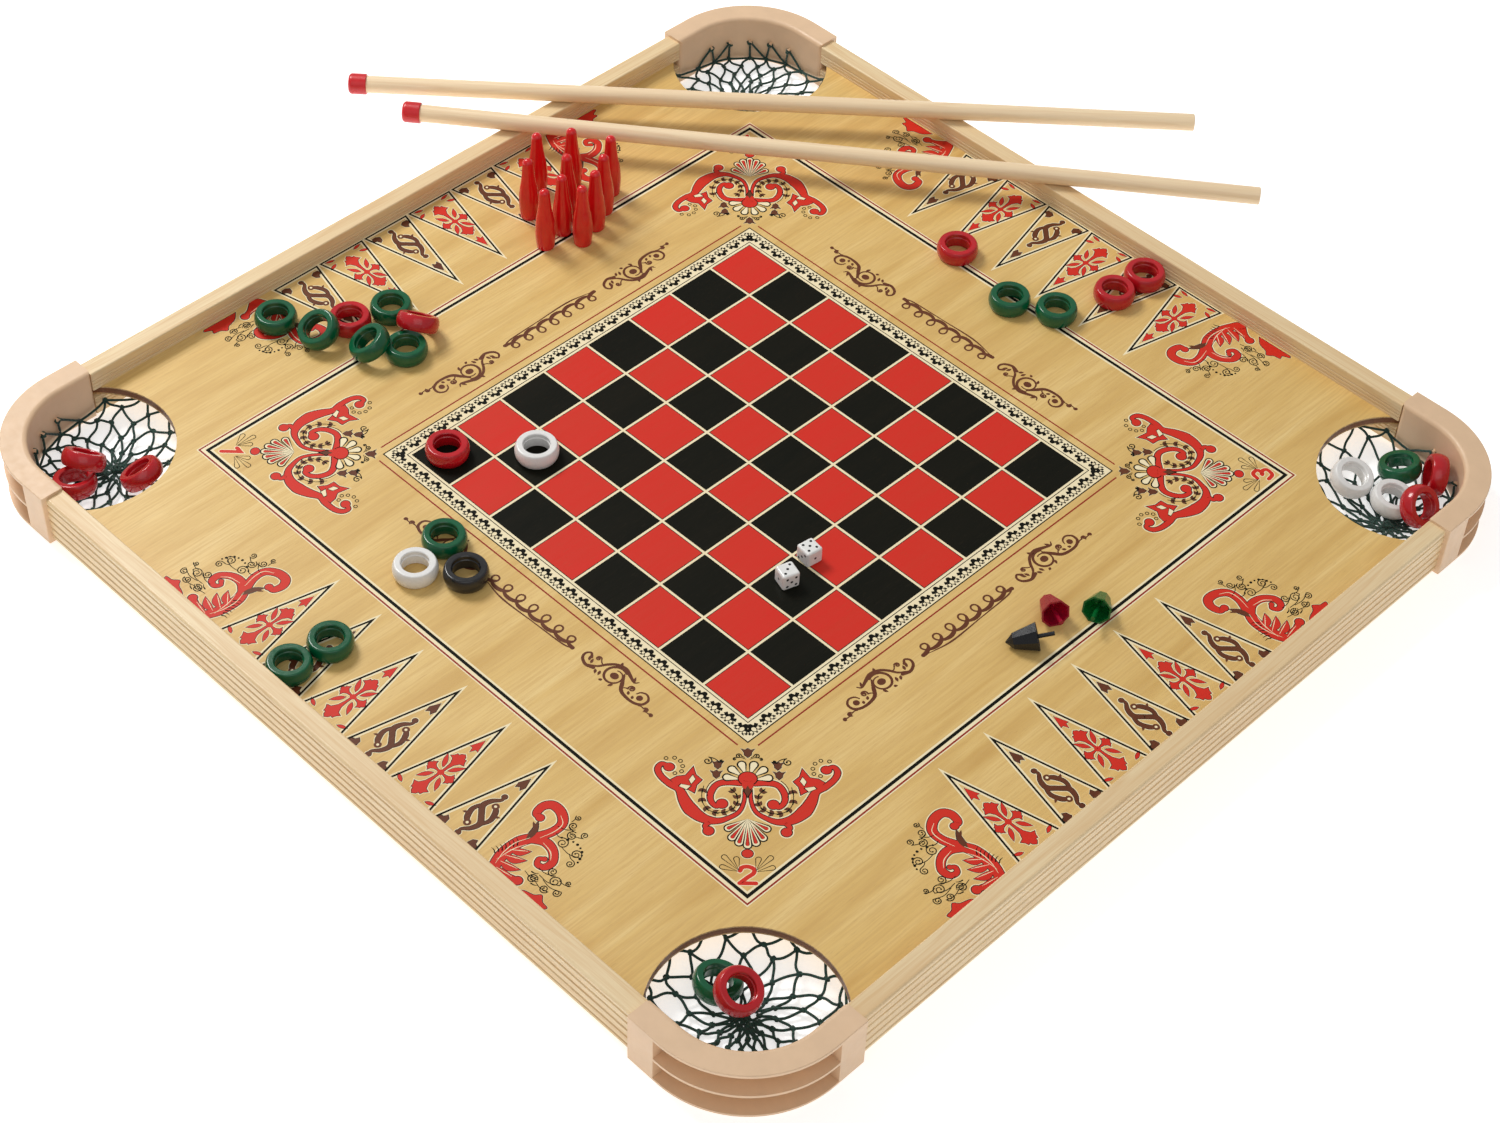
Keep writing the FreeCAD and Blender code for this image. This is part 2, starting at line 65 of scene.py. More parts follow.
# -------------------- materials
class Paint:
    """A procedural material, built from short calls that add nodes and join them."""

    def __init__(self, name, grain_heading=0.0, **uniform):
        self.mat = bpy.data.materials.new(name)
        self.mat.use_nodes = True
        self.tree = self.mat.node_tree
        self.bsdf = self.tree.nodes["Principled BSDF"]
        turned = self.add("ShaderNodeMapping")
        turned.inputs["Rotation"].default_value[2] = -math.radians(grain_heading)
        coords = self.add("ShaderNodeTexCoord")
        self.tree.links.new(coords.outputs["Object"], turned.inputs["Vector"])
        self.space = turned.outputs["Vector"]
        self.uv = coords.outputs["UV"]
        for key, value in uniform.items():
            self.put(key.replace("_", " "), value)

    def add(self, kind, **settings):
        node = self.tree.nodes.new(kind)
        for key, value in settings.items():
            setattr(node, key, value)
        return node

    def feed(self, socket, value):
        if isinstance(value, bpy.types.NodeSocket):
            self.tree.links.new(value, socket)
        else:
            socket.default_value = value

    def put(self, name, value):
        self.feed(self.bsdf.inputs[name], value)

    def stretched(self, along, across, up=None):
        """The object's space, scaled so that a unit is 1/along by 1/across metres."""
        node = self.add("ShaderNodeMapping")
        node.inputs["Scale"].default_value = (along, across, across if up is None else up)
        self.tree.links.new(self.space, node.inputs["Vector"])
        return node.outputs["Vector"]

    def noise(self, vector, detail=3.0, rough=0.5, distortion=0.0):
        node = self.add("ShaderNodeTexNoise")
        self.feed(node.inputs["Vector"], vector)
        for key, value in (("Scale", 1.0), ("Detail", detail),
                           ("Roughness", rough), ("Distortion", distortion)):
            node.inputs[key].default_value = value
        return node.outputs["Fac"]

    def ramp(self, factor, *stops):
        node = self.add("ShaderNodeValToRGB")
        bar = node.color_ramp
        while len(bar.elements) < len(stops):
            bar.elements.new(0.5)
        for element, (at, colour) in zip(bar.elements, stops):
            element.position = at
            element.color = (*colour, 1.0) if hasattr(colour, "__len__") else (colour,) * 3 + (1.0,)
        self.feed(node.inputs["Fac"], factor)
        return node.outputs["Color"]

    def mix(self, factor, a, b):
        node = self.add("ShaderNodeMix", data_type="RGBA")
        for socket, value in zip((node.inputs[0], node.inputs[6], node.inputs[7]), (factor, a, b)):
            if hasattr(value, "__len__"):
                value = (*value, 1.0)
            self.feed(socket, value)
        return node.outputs[2]

    def math(self, operation, a, b=0.0):
        node = self.add("ShaderNodeMath", operation=operation)
        self.feed(node.inputs[0], a)
        self.feed(node.inputs[1], b)
        return node.outputs[0]

    def bump(self, height, depth, strength=1.0):
        node = self.add("ShaderNodeBump")
        node.inputs["Distance"].default_value = depth
        node.inputs["Strength"].default_value = strength
        self.feed(node.inputs["Height"], height)
        self.put("Normal", node.outputs["Normal"])


PLY_THICK = 6.35 * MM
TWINE_LAY = 3.5 * MM            # length of one turn of the twine's lay
FINE_TEXTURE = 2500             # grains to a metre on moulded plastic


def veneer_grain(p):
    """Broad figure, fine fibre and short pores of a rotary-cut birch face, as three factors."""
    figure = p.noise(p.stretched(5, 55), detail=4, rough=0.55, distortion=0.6)
    fibre = p.noise(p.stretched(24, 620), detail=3, rough=0.6)
    pores = p.noise(p.stretched(120, 1500), detail=1, rough=0.5)
    return figure, fibre, pores


def panel_wood():
    """Birch plywood: veneer on the faces, and the plies in bands on a cut edge."""
    p = Paint("panel_plywood_look", 90, Coat_Weight=0.1, Coat_Roughness=0.25, Specular_IOR_Level=0.35)
    figure, fibre, pores = veneer_grain(p)
    base = p.ramp(figure, (0.28, (0.61, 0.37, 0.105)), (0.47, (0.73, 0.49, 0.168)),
                  (0.62, (0.79, 0.555, 0.215)), (0.80, (0.83, 0.625, 0.28)))
    base = p.mix(p.ramp(fibre, (0.36, 0.55), (0.60, 0.0)), base, (0.62, 0.39, 0.13))
    base = p.mix(p.ramp(pores, (0.26, 0.30), (0.35, 0.0)), base, (0.46, 0.27, 0.09))
    geo = p.add("ShaderNodeNewGeometry")
    split = p.add("ShaderNodeSeparateXYZ")
    p.feed(split.inputs[0], geo.outputs["Normal"])
    level = p.math("ABSOLUTE", split.outputs["Z"])
    place = p.add("ShaderNodeSeparateXYZ")
    p.feed(place.inputs[0], p.space)
    ply = p.math("MULTIPLY", place.outputs["Z"], -1 / PLY_THICK)
    edge = p.ramp(ply, (0.0, (0.74, 0.50, 0.22)), (0.13, (0.74, 0.50, 0.22)),
                  (0.19, (0.20, 0.075, 0.025)), (0.80, (0.26, 0.10, 0.035)),
                  (0.87, (0.70, 0.46, 0.20)))
    edge = p.mix(p.ramp(p.noise(p.stretched(900, 900), detail=4), (0.35, 0.5), (0.65, 0.0)),
                 edge, (0.10, 0.035, 0.012))
    p.put("Base Color", p.mix(p.ramp(level, (0.45, 0.0), (0.6, 1.0)), edge, base))
    p.put("Roughness", p.ramp(fibre, (0.3, 0.5), (0.7, 0.36)))
    p.bump(p.mix(0.5, fibre, pores), 0.00006, 0.5)
    return p.mat


def pine(name, heading, pale, dark):
    """Flat-sawn pine: wide late-wood bands that wander along the length, with fine fibre."""
    p = Paint(name, heading, Coat_Weight=0.2, Coat_Roughness=0.25)
    bands = p.noise(p.stretched(2.2, 85, 60), detail=3, rough=0.45, distortion=0.9)
    rings = p.math("FRACT", p.math("MULTIPLY", bands, 7.0))
    late = p.ramp(rings, (0.0, 0.05), (0.62, 0.25), (0.86, 1.0), (0.97, 0.1))
    fibre = p.noise(p.stretched(30, 900), detail=3, rough=0.6)
    base = p.mix(p.math("MULTIPLY", late, 0.55), pale, dark)
    base = p.mix(p.ramp(fibre, (0.38, 0.35), (0.60, 0.0)), base, dark)
    shade = p.noise(p.stretched(3, 20), detail=2)
    base = p.mix(p.ramp(shade, (0.35, 0.35), (0.62, 0.0)), base, dark)
    p.put("Base Color", base)
    p.put("Roughness", p.ramp(fibre, (0.3, 0.52), (0.7, 0.40)))
    p.bump(fibre, 0.00005, 0.45)
    return p.mat


def moulded(name, colour, roughness, dark, coat=0.0, grain=0.00001, **uniform):
    """Moulded plastic: a faint cloudiness, uneven gloss and a very fine surface texture."""
    p = Paint(name, Coat_Weight=coat, Coat_Roughness=0.12, **uniform)
    cloud = p.noise(p.stretched(60, 60), detail=4, rough=0.6)
    tone = p.ramp(cloud, (0.35, tuple(c * dark for c in colour)), (0.65, colour))
    p.put("Base Color", tone)
    handling = p.noise(p.stretched(220, 220), detail=5, rough=0.7, distortion=0.4)
    p.put("Roughness", p.ramp(handling, (0.30, roughness * 0.75), (0.72, roughness * 1.35)))
    p.bump(p.noise(p.stretched(FINE_TEXTURE, FINE_TEXTURE), detail=2), grain, 0.6)
    return p.mat


def printed(name, colour, worn, shine):
    """Screen ink on the veneer: the wood's fibre shows through a little."""
    p = Paint(name, 90, Specular_IOR_Level=shine)
    figure, fibre, pores = veneer_grain(p)
    tone = p.mix(p.ramp(figure, (0.3, 0.30), (0.7, 0.0)), colour, worn)
    tone = p.mix(p.ramp(pores, (0.28, 0.55), (0.36, 0.0)), tone, worn)
    p.put("Base Color", tone)
    p.put("Roughness", p.ramp(fibre, (0.3, 0.50), (0.7, 0.36)))
    p.bump(p.mix(0.5, fibre, pores), 0.00006, 0.5)
    return p.mat


def twine():
    """Two-ply twine: dark green with a diagonal lay, from the tube's own coordinates, with painted shade
    in the grooves between the plies.
    """
    p = Paint("net_twine_look", Roughness=0.8, Sheen_Weight=0.3)
    parts = p.add("ShaderNodeSeparateXYZ")
    p.feed(parts.inputs[0], p.uv)
    lay = p.math("ADD", p.math("MULTIPLY", parts.outputs["X"], 1 / TWINE_LAY), parts.outputs["Y"])
    ply = p.math("PINGPONG", p.math("MULTIPLY", lay, 2.0), 1.0)
    # painted shade: the colour darkens to near black in the grooves between the plies and is lighter on
    # their crowns
    tone = p.ramp(ply, (0.0, (0.001, 0.006, 0.005)), (0.8, (0.004, 0.040, 0.027)))
    fuzz = p.noise(p.stretched(1800, 1800), detail=3)
    p.put("Base Color", p.mix(p.ramp(fuzz, (0.4, 0.0), (0.75, 0.7)), tone, (0.010, 0.085, 0.058)))
    p.bump(p.mix(0.3, ply, fuzz), 0.0004, 0.8)
    return p.mat


def steel():
    p = Paint("fastener_steel_look", Metallic=1.0)
    marks = p.noise(p.stretched(700, 700), detail=4)
    p.put("Base Color", p.ramp(marks, (0.3, (0.42, 0.42, 0.41)), (0.7, (0.60, 0.60, 0.58))))
    p.put("Roughness", p.ramp(marks, (0.3, 0.45), (0.7, 0.28)))
    p.bump(marks, 0.00003, 0.5)
    return p.mat


RAIL_PINE = ((0.83, 0.66, 0.40), (0.67, 0.43, 0.20))     # pale and dark wood
CUE_PINE = ((0.92, 0.74, 0.49), (0.80, 0.57, 0.34))
CUE_HEADINGS = {"1": 43.07, "2": 38.28}
LOOKS = {
    "playing_panel": panel_wood(),
    "rail_near_right": pine("rail_pine_y", 90, *RAIL_PINE),
    "rail_far_right": pine("rail_pine_x", 0, *RAIL_PINE),
    "corner_casting": moulded("casting_look", (0.77, 0.535, 0.34), 0.42, 0.94, grain=0.00002),
    "ring_red": moulded("ring_red_look", (0.52, 0.006, 0.013), 0.20, 0.85, coat=0.15),
    "ring_green": moulded("ring_green_look", (0.0, 0.105, 0.038), 0.20, 0.8, coat=0.1),
    "ring_white": moulded("ring_white_look", (0.80, 0.79, 0.77), 0.26, 0.96, coat=0.2),
    "ring_black": moulded("ring_black_look", (0.016, 0.016, 0.018), 0.20, 0.7, coat=0.15),
    "pin": moulded("pin_look", (0.72, 0.008, 0.010), 0.18, 0.88, coat=0.15),
    "die": moulded("die_look", (0.82, 0.82, 0.80), 0.25, 0.97, coat=0.2),
    "cue_cap": moulded("cap_look", (0.62, 0.008, 0.014), 0.32, 0.85, coat=0.1),
    "spinning_top_black": moulded("top_black_look", (0.010, 0.011, 0.014), 0.26, 0.8,
                                  Specular_IOR_Level=0.35),
    "spinning_top_red": moulded("top_red_look", (0.55, 0.006, 0.045), 0.22, 0.85,
                                Transmission_Weight=0.45, IOR=1.49),
    "spinning_top_green": moulded("top_green_look", (0.004, 0.22, 0.045), 0.22, 0.85,
                                  Transmission_Weight=0.45, IOR=1.49),
    "fastener": steel(),
    "cue_1": pine("cue_wood_1", CUE_HEADINGS["1"], *CUE_PINE),
    "cue_2": pine("cue_wood_2", CUE_HEADINGS["2"], *CUE_PINE),
}
LOOKS["rail_near_left"] = LOOKS["rail_far_right"]
LOOKS["rail_far_left"] = LOOKS["rail_near_right"]


def look_of(node):
    """The material of a CAD node, from its name."""
    if node in ("net_staples", "corner_screws"):
        return LOOKS["fastener"]
    if node.startswith("cue_shaft"):
        return LOOKS["cue_" + node[-1]]
    for colour in ("red", "green", "white", "black"):
        if "ring" in node and colour in node and not node.startswith("spinning"):
            return LOOKS["ring_" + colour]
    return next(LOOKS[key] for key in LOOKS if node.startswith(key))


for node, shown in NODES.items():
    if node.startswith("pocket_net"):
        continue
    shown.data.materials.clear()
    shown.data.materials.append(look_of(node))


# -------------------- meshes made by code
class Mesh:
    """Vertices, faces and one UV pair per vertex, gathered and then made into one piece."""

    def __init__(self):
        self.verts, self.faces, self.uvs = [], [], []

    def put(self, verts, faces, uvs=None):
        base = len(self.verts)
        self.verts += verts
        self.faces += [tuple(base + i for i in face) for face in faces]
        self.uvs += uvs or [(0.0, 0.0)] * len(verts)

    def piece(self, name, material, body, smooth=False):
        data = bpy.data.meshes.new(name)
        data.from_pydata(self.verts, [], self.faces)
        layer = data.uv_layers.new(name="UVMap")
        for loop in data.loops:
            layer.data[loop.index].uv = self.uvs[loop.vertex_index]
        data.materials.append(material)
        for polygon in data.polygons:
            polygon.use_smooth = smooth
        obj = bpy.data.objects.new(name, data)
        bpy.context.scene.collection.objects.link(obj)
        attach(obj, body)
        return obj


# -------------------- the printed face
# Flat positions are complex numbers, in squares of the printed 8 by 8 grid.
SQUARE = 38.36 * MM
INK_STEP = 0.012 * MM
INK_JITTER = 0.0006 * MM
JITTERS = 12                  # shapes of one ink lie at this many slightly different heights
STROKE_RISE = 0.0045 * MM     # along a stroke, so that where it crosses itself one part is on top
CAP_WIDTH = 0.02              # an open stroke that ends wider than this has round ends
MITRE_LIMIT = 0.45            # at a corner, a stroke widens no more than the inverse of this
INK_ORDER = ("cream", "line", "maroon", "red", "brown", "black", "light",
             "top black", "top red", "top brown")
PRINT_EDGE = 339.0 * MM / SQUARE
POCKET_AT = 299.2 * MM / SQUARE
POCKET_R = 57.3 * MM / SQUARE


def curve(points, per=8):
    """A Catmull-Rom curve through the points."""
    out = []
    for i, (b, c) in enumerate(zip(points, points[1:])):
        a = points[i - 1] if i else 2 * b - c
        d = points[i + 2] if i + 2 < len(points) else 2 * c - b
        for k in range(per):
            t = k / per
            out.append(0.5 * (2 * b + (c - a) * t + (2 * a - 5 * b + 4 * c - d) * t * t
                              + (3 * b - a - 3 * c + d) * t ** 3))
    return out + [points[-1]]


def spread(values, count):
    """Values given at even steps, read off at count even steps."""
    out = []
    for i in range(count):
        at = i * (len(values) - 1) / max(count - 1, 1)
        k = min(int(at), len(values) - 2)
        out.append(values[k] + (values[k + 1] - values[k]) * (at - k))
    return out


def rectangle(low, high):
    return [low, complex(high.real, low.imag), high, complex(low.real, high.imag)]


def oval(centre, rx, ry=None, count=20):
    ry = rx if ry is None else ry
    return [centre + complex(rx * math.cos(TAU * k / count), ry * math.sin(TAU * k / count))
            for k in range(count)]


def coil(centre, r0, r1, start, turns, count=26):
    """A spiral; start is in degrees and turns may be negative."""
    return [centre + (r0 + (r1 - r0) * k / count)
            * cmath.exp(1j * (math.radians(start) + TAU * turns * k / count))
            for k in range(count + 1)]


def leaf(root, tip, width, bend=0.0):
    """A leaf from root to tip, width across, bowed sideways by bend."""
    along = tip - root
    side = 1j * along / abs(along)
    left, right = [], []
    for k in range(9):
        t = k / 8
        mid = root + along * t + side * bend * math.sin(math.pi * t)
        half = side * width / 2 * math.sin(math.pi * t ** 0.85)
        left.append(mid + half)
        right.append(mid - half)
    return left + right[::-1][1:-1]


def petal(root, tip, width, count=11):
    """A drop shape, pointed at its root and round at its tip."""
    along = (tip - root) / abs(tip - root)
    middle = tip - along * width / 2
    turns = [math.radians(-105 + 210 * i / (count - 1)) for i in range(count)]
    return [root] + [middle + along * width / 2 * cmath.exp(1j * a) for a in turns]


class Print:
    """Draws flat shapes in several inks, under a turn and a mirror."""

    def __init__(self):
        self.inks = {name: Mesh() for name in INK_ORDER}
        self.turn, self.mirror, self.shapes = 1 + 0j, False, 0

    def at(self, turn, mirror=False):
        self.turn, self.mirror = turn, mirror

    def spot(self, z):
        z = -z.conjugate() if self.mirror else z
        return z * self.turn

    def lay(self, ink, points, faces, rise=0.0):
        self.shapes += 1
        z = INK_STEP * (1 + INK_ORDER.index(ink)) + INK_JITTER * (self.shapes % JITTERS)
        rise /= len(points)
        spots = [self.spot(p) for p in points]
        if self.mirror:
            faces = [face[::-1] for face in faces]
        self.inks[ink].put([(s.real * SQUARE, s.imag * SQUARE, z + rise * i)
                            for i, s in enumerate(spots)], faces)

    def fill(self, ink, *loops):
        points = [p for loop in loops for p in loop]
        flat = [[Vector((p.real, p.imag, 0)) for p in loop] for loop in loops]
        faces = []
        for a, b, c in geometry.tessellate_polygon(flat):
            u, v = points[b] - points[a], points[c] - points[a]
            up = (u.conjugate() * v).imag > 0
            faces.append((a, b, c) if up else (a, c, b))
        self.lay(ink, points, faces)

    def stroke(self, ink, path, width, closed=False, caps=True):
        """A line of the given width, or of widths spread along it, with mitred corners."""
        n = len(path)
        widths = spread(list(width), n) if hasattr(width, "__len__") else [width] * n
        points, faces = [], []
        for i, p in enumerate(path):
            before = path[i - 1] if i or closed else None
            after = path[(i + 1) % n] if i + 1 < n or closed else None
            d1 = (p - before) if before is not None else (after - p)
            d2 = (after - p) if after is not None else d1
            d1 /= abs(d1) or 1
            d2 /= abs(d2) or 1
            middle = d1 + d2
            middle = middle / abs(middle) if abs(middle) > 0.2 else d2
            reach = 1 / max((middle.conjugate() * d2).real, MITRE_LIMIT)
            offset = 1j * middle * widths[i] / 2 * reach
            points += [p + offset, p - offset]
        for i in range(n if closed else n - 1):
            a, b = 2 * i, 2 * ((i + 1) % n)
            faces.append((a, a + 1, b + 1, b))
        self.lay(ink, points, faces, 0.0 if closed else STROKE_RISE)
        if caps and not closed:
            for end, w in ((path[0], widths[0]), (path[-1], widths[-1])):
                if w > CAP_WIDTH:
                    self.fill(ink, oval(end, w / 2, count=10))

    def shape(self, ink, loop, line, halo):
        """A filled shape with a thin dark outline, in a pale halo unless that is 0."""
        if halo:
            self.stroke("cream", loop, halo, closed=True)
            self.fill("cream", loop)
        self.stroke("line", loop, line * 2, closed=True)
        self.fill(ink, loop)

    def swash(self, ink, path, widths, line, halo, ball=None):
        """A band that swells and thins, outlined, with a ball at its far end if one is given."""
        for extra, layer in ((halo, "cream"), (line, "line"), (0, ink)):
            self.stroke(layer, path, [w + 2 * extra for w in widths])
            if ball:
                self.fill(layer, oval(path[-1], ball + extra))

    def curl(self, root, centre, radius, start, turns, width=0.011, ink="black"):
        """A fine tendril from root into a spiral."""
        ring = coil(centre, radius, radius * 0.25, start, turns)
        lead = curve([root, (root + ring[0]) / 2 + (ring[0] - root) * 0.12j, ring[0]], 5)
        self.stroke(ink, lead[:-1] + ring, [width, width * 1.6, width], caps=False)
        self.fill(ink, oval(ring[-1], width * 1.3, count=8))


QUAD = [(0, 1, 2, 3)]
SQUARE_GAP = 0.022            # from a grid line to the ink of a square
RED_LINE = 0.014              # the dark line round a red square
OUTLINES = (("black", 4.03, 0.014), ("black", 4.31, 0.020), ("cream", 6.41, 0.20),
            ("black", 6.375, 0.056), ("maroon", 6.475, 0.030))       # ink, half size, line width
LACE_COUNT = 28
LACE_LENGTH = 8.12
LACE_AT = -4.135


def square_line(pr, ink, half, width):
    """A square outline about the centre."""
    out = half + width / 2
    inn = half - width / 2
    side = [complex(-out, -out), complex(out, -out), complex(inn, -inn), complex(-inn, -inn)]
    for k in range(4):
        pr.at(1j ** k)
        pr.lay(ink, side, QUAD)


def checkers(pr):
    """The cream ground and the 64 squares."""
    pr.at(1)
    pr.lay("cream", rectangle(-4.3 - 4.3j, 4.3 + 4.3j), QUAD)
    for row in range(8):
        for column in range(8):
            low = complex(column - 4 + SQUARE_GAP, row - 4 + SQUARE_GAP)
            high = complex(column - 3 - SQUARE_GAP, row - 3 - SQUARE_GAP)
            ink = "black" if (row + column) % 2 == 0 else "red"
            if ink == "red":
                pr.lay("line", rectangle(low, high), QUAD)
                low += RED_LINE * (1 + 1j)
                high -= RED_LINE * (1 + 1j)
            pr.lay(ink, rectangle(low, high), QUAD)


def border(pr):
    """The lace band and the fine lines round the squares, and the outer frame."""
    for ink, half, width in OUTLINES:
        square_line(pr, ink, half, width)
    crown = [-0.13 - 0.02j, -0.10 + 0.035j, -0.055 + 0.005j, -0.035 + 0.06j, 0.075j, 0.035 + 0.06j,
             0.055 + 0.005j, 0.10 + 0.035j, 0.13 - 0.02j, 0.07 - 0.05j, -0.07 - 0.05j]
    for k in range(4):
        pr.at(1j ** k)
        pr.stroke("maroon", [-4.24 - 4.46j, 4.24 - 4.46j], 0.026, caps=False)
        for i in range(LACE_COUNT):
            c = complex((i - (LACE_COUNT - 1) / 2) * LACE_LENGTH / (LACE_COUNT - 1), LACE_AT)
            pr.fill("black", [c + p for p in crown])
            pr.fill("light", oval(c - 0.055j, 0.036, 0.045, 10))
            pr.stroke("black", oval(c - 0.066j, 0.034, 0.048, 10), 0.011, closed=True)
            for side in (-1, 1):
                pr.stroke("black", oval(c + side * 0.072 - 0.072j, 0.030, 0.036, 10), 0.011, closed=True)
                pr.fill("black", leaf(c + side * 0.045 - 0.11j, c + side * 0.115 - 0.128j, 0.022))
                pr.curl(c + side * 0.10 - 0.05j, c + side * 0.124 - 0.082j, 0.020, 90, side * 1.0, 0.008)
            pr.fill("black", oval(c - 0.128j, 0.018, 0.014, 8))


POINT_HALF, POINT_APEX, POINT_BASE = 0.47, -6.84, -8.80
POINT_PITCH = 1.03
POINT_EDGES = (0.045, 0.017, -0.017, -0.05)      # cream, black, black, cream


def offset_triangle(grow):
    """A point's outline, apex towards the centre, grown by grow all round."""
    lean = math.atan2(POINT_HALF, POINT_APEX - POINT_BASE)
    tip = complex(0, POINT_APEX + grow / math.sin(lean))
    wide = POINT_HALF + grow / math.cos(lean) + grow * math.tan(lean)
    return [tip, complex(-wide, POINT_BASE - grow), complex(wide, POINT_BASE - grow)]


def fleur(length, width):
    """Half a flower arm's outline, mirrored: a stem that flares into three lobes."""
    half = [0.10 + 0.0j, 0.12 + 0.25j, 0.22 + 0.48j, 0.55 + 0.66j, 0.98 + 0.70j, 0.72 + 0.80j,
            0.62 + 0.90j, 0.40 + 0.88j, 0.30 + 0.97j, 0.0 + 1.04j]
    right = [complex(p.real * width, p.imag * length) for p in half]
    return right + [complex(-p.real, p.imag) for p in right[-2::-1]]


def sided(p, side):
    """The point itself, or its mirror image across the upright line when side is -1."""
    return complex(side * p.real, p.imag)


def red_point(pr, place):
    """A cross of four flower arms, with leaves, between a point's two sides."""
    centre = complex(0, -8.08)
    for turn, length, width in ((1, 0.47, 0.15), (-1, 0.55, 0.16), (1j, 0.265, 0.11),
                                (-1j, 0.265, 0.11)):
        loop = [place + centre + p * turn for p in fleur(length, width)]
        pr.shape("red", loop, 0.010, 0.045)
    pr.fill("red", [place + centre + p for p in oval(0, 0.055)])
    leaves = ((0.055 - 7.99j, 0.20 - 7.76j, 0.075), (0.075 - 8.16j, 0.21 - 8.38j, 0.075),
              (0.27 - 8.62j, 0.43 - 8.55j, 0.06), (0.22 - 8.72j, 0.40 - 8.76j, 0.05))
    for side in (-1, 1):
        for root, tip, width in leaves:
            pr.shape("red", leaf(place + sided(root, side), place + sided(tip, side), width), 0.008, 0.03)
    kite = [0 - 7.19j, 0.085 - 7.42j, 0.035 - 7.41j, 0 - 7.50j, -0.035 - 7.41j, -0.085 - 7.42j]
    pr.shape("red", [place + p for p in kite], 0.008, 0.03)


def brown_point(pr, place):
    """An S of two scrolls, with leaves, between a point's two sides."""
    centre = place - 8.17j
    bend = [-0.01 + 0.47j, 0.0 + 0.39j, -0.085 + 0.28j, -0.115 + 0.13j, 0j]
    tail = [0.04 + 0.25j, 0.12 + 0.17j, 0.175 + 0.02j, 0.14 - 0.12j, 0.11 - 0.16j]
    for turn in (1, -1):
        pr.swash("brown", curve([centre + p * turn for p in bend])[::-1],
                 [0.085, 0.090, 0.072, 0.045, 0.040], 0.009, 0.022, ball=0.045)
        pr.swash("brown", curve([centre + p * turn for p in tail]),
                 [0.06, 0.085, 0.072, 0.045, 0.01], 0.009, 0.022)
        eye = centre + (0.035 + 0.25j) * turn
        pr.fill("brown", oval(eye, 0.062))
        pr.fill("light", oval(eye, 0.024, count=10))
        pr.fill("brown", leaf(centre + (0.15 + 0.10j) * turn, centre + (0.25 + 0.16j) * turn, 0.045))
    bud = [0.25 - 8.66j, 0.27 - 8.57j, 0.33 - 8.53j, 0.36 - 8.60j, 0.42 - 8.62j, 0.40 - 8.70j,
           0.32 - 8.71j]
    for side in (-1, 1):
        pr.shape("brown", [place + sided(p, side) for p in bud], 0.008, 0.03)
    kite = [0 - 7.19j, 0.075 - 7.36j, 0.05 - 7.45j, 0 - 7.40j, -0.05 - 7.45j, -0.075 - 7.36j]
    pr.shape("brown", [place + p for p in kite], 0.008, 0.03)


def points_row(pr):
    """Six long points along each side, with a red and a brown filling in turn."""
    for k in range(4):
        for i in range(6):
            pr.at(1j ** k)
            place = complex((i - 2.5) * POINT_PITCH, 0)
            outline = [[place + p for p in offset_triangle(grow)] for grow in POINT_EDGES]
            pr.fill("cream", outline[0], outline[3])
            pr.fill("black", outline[1], outline[2])
            (red_point if i % 2 == 0 else brown_point)(pr, place)


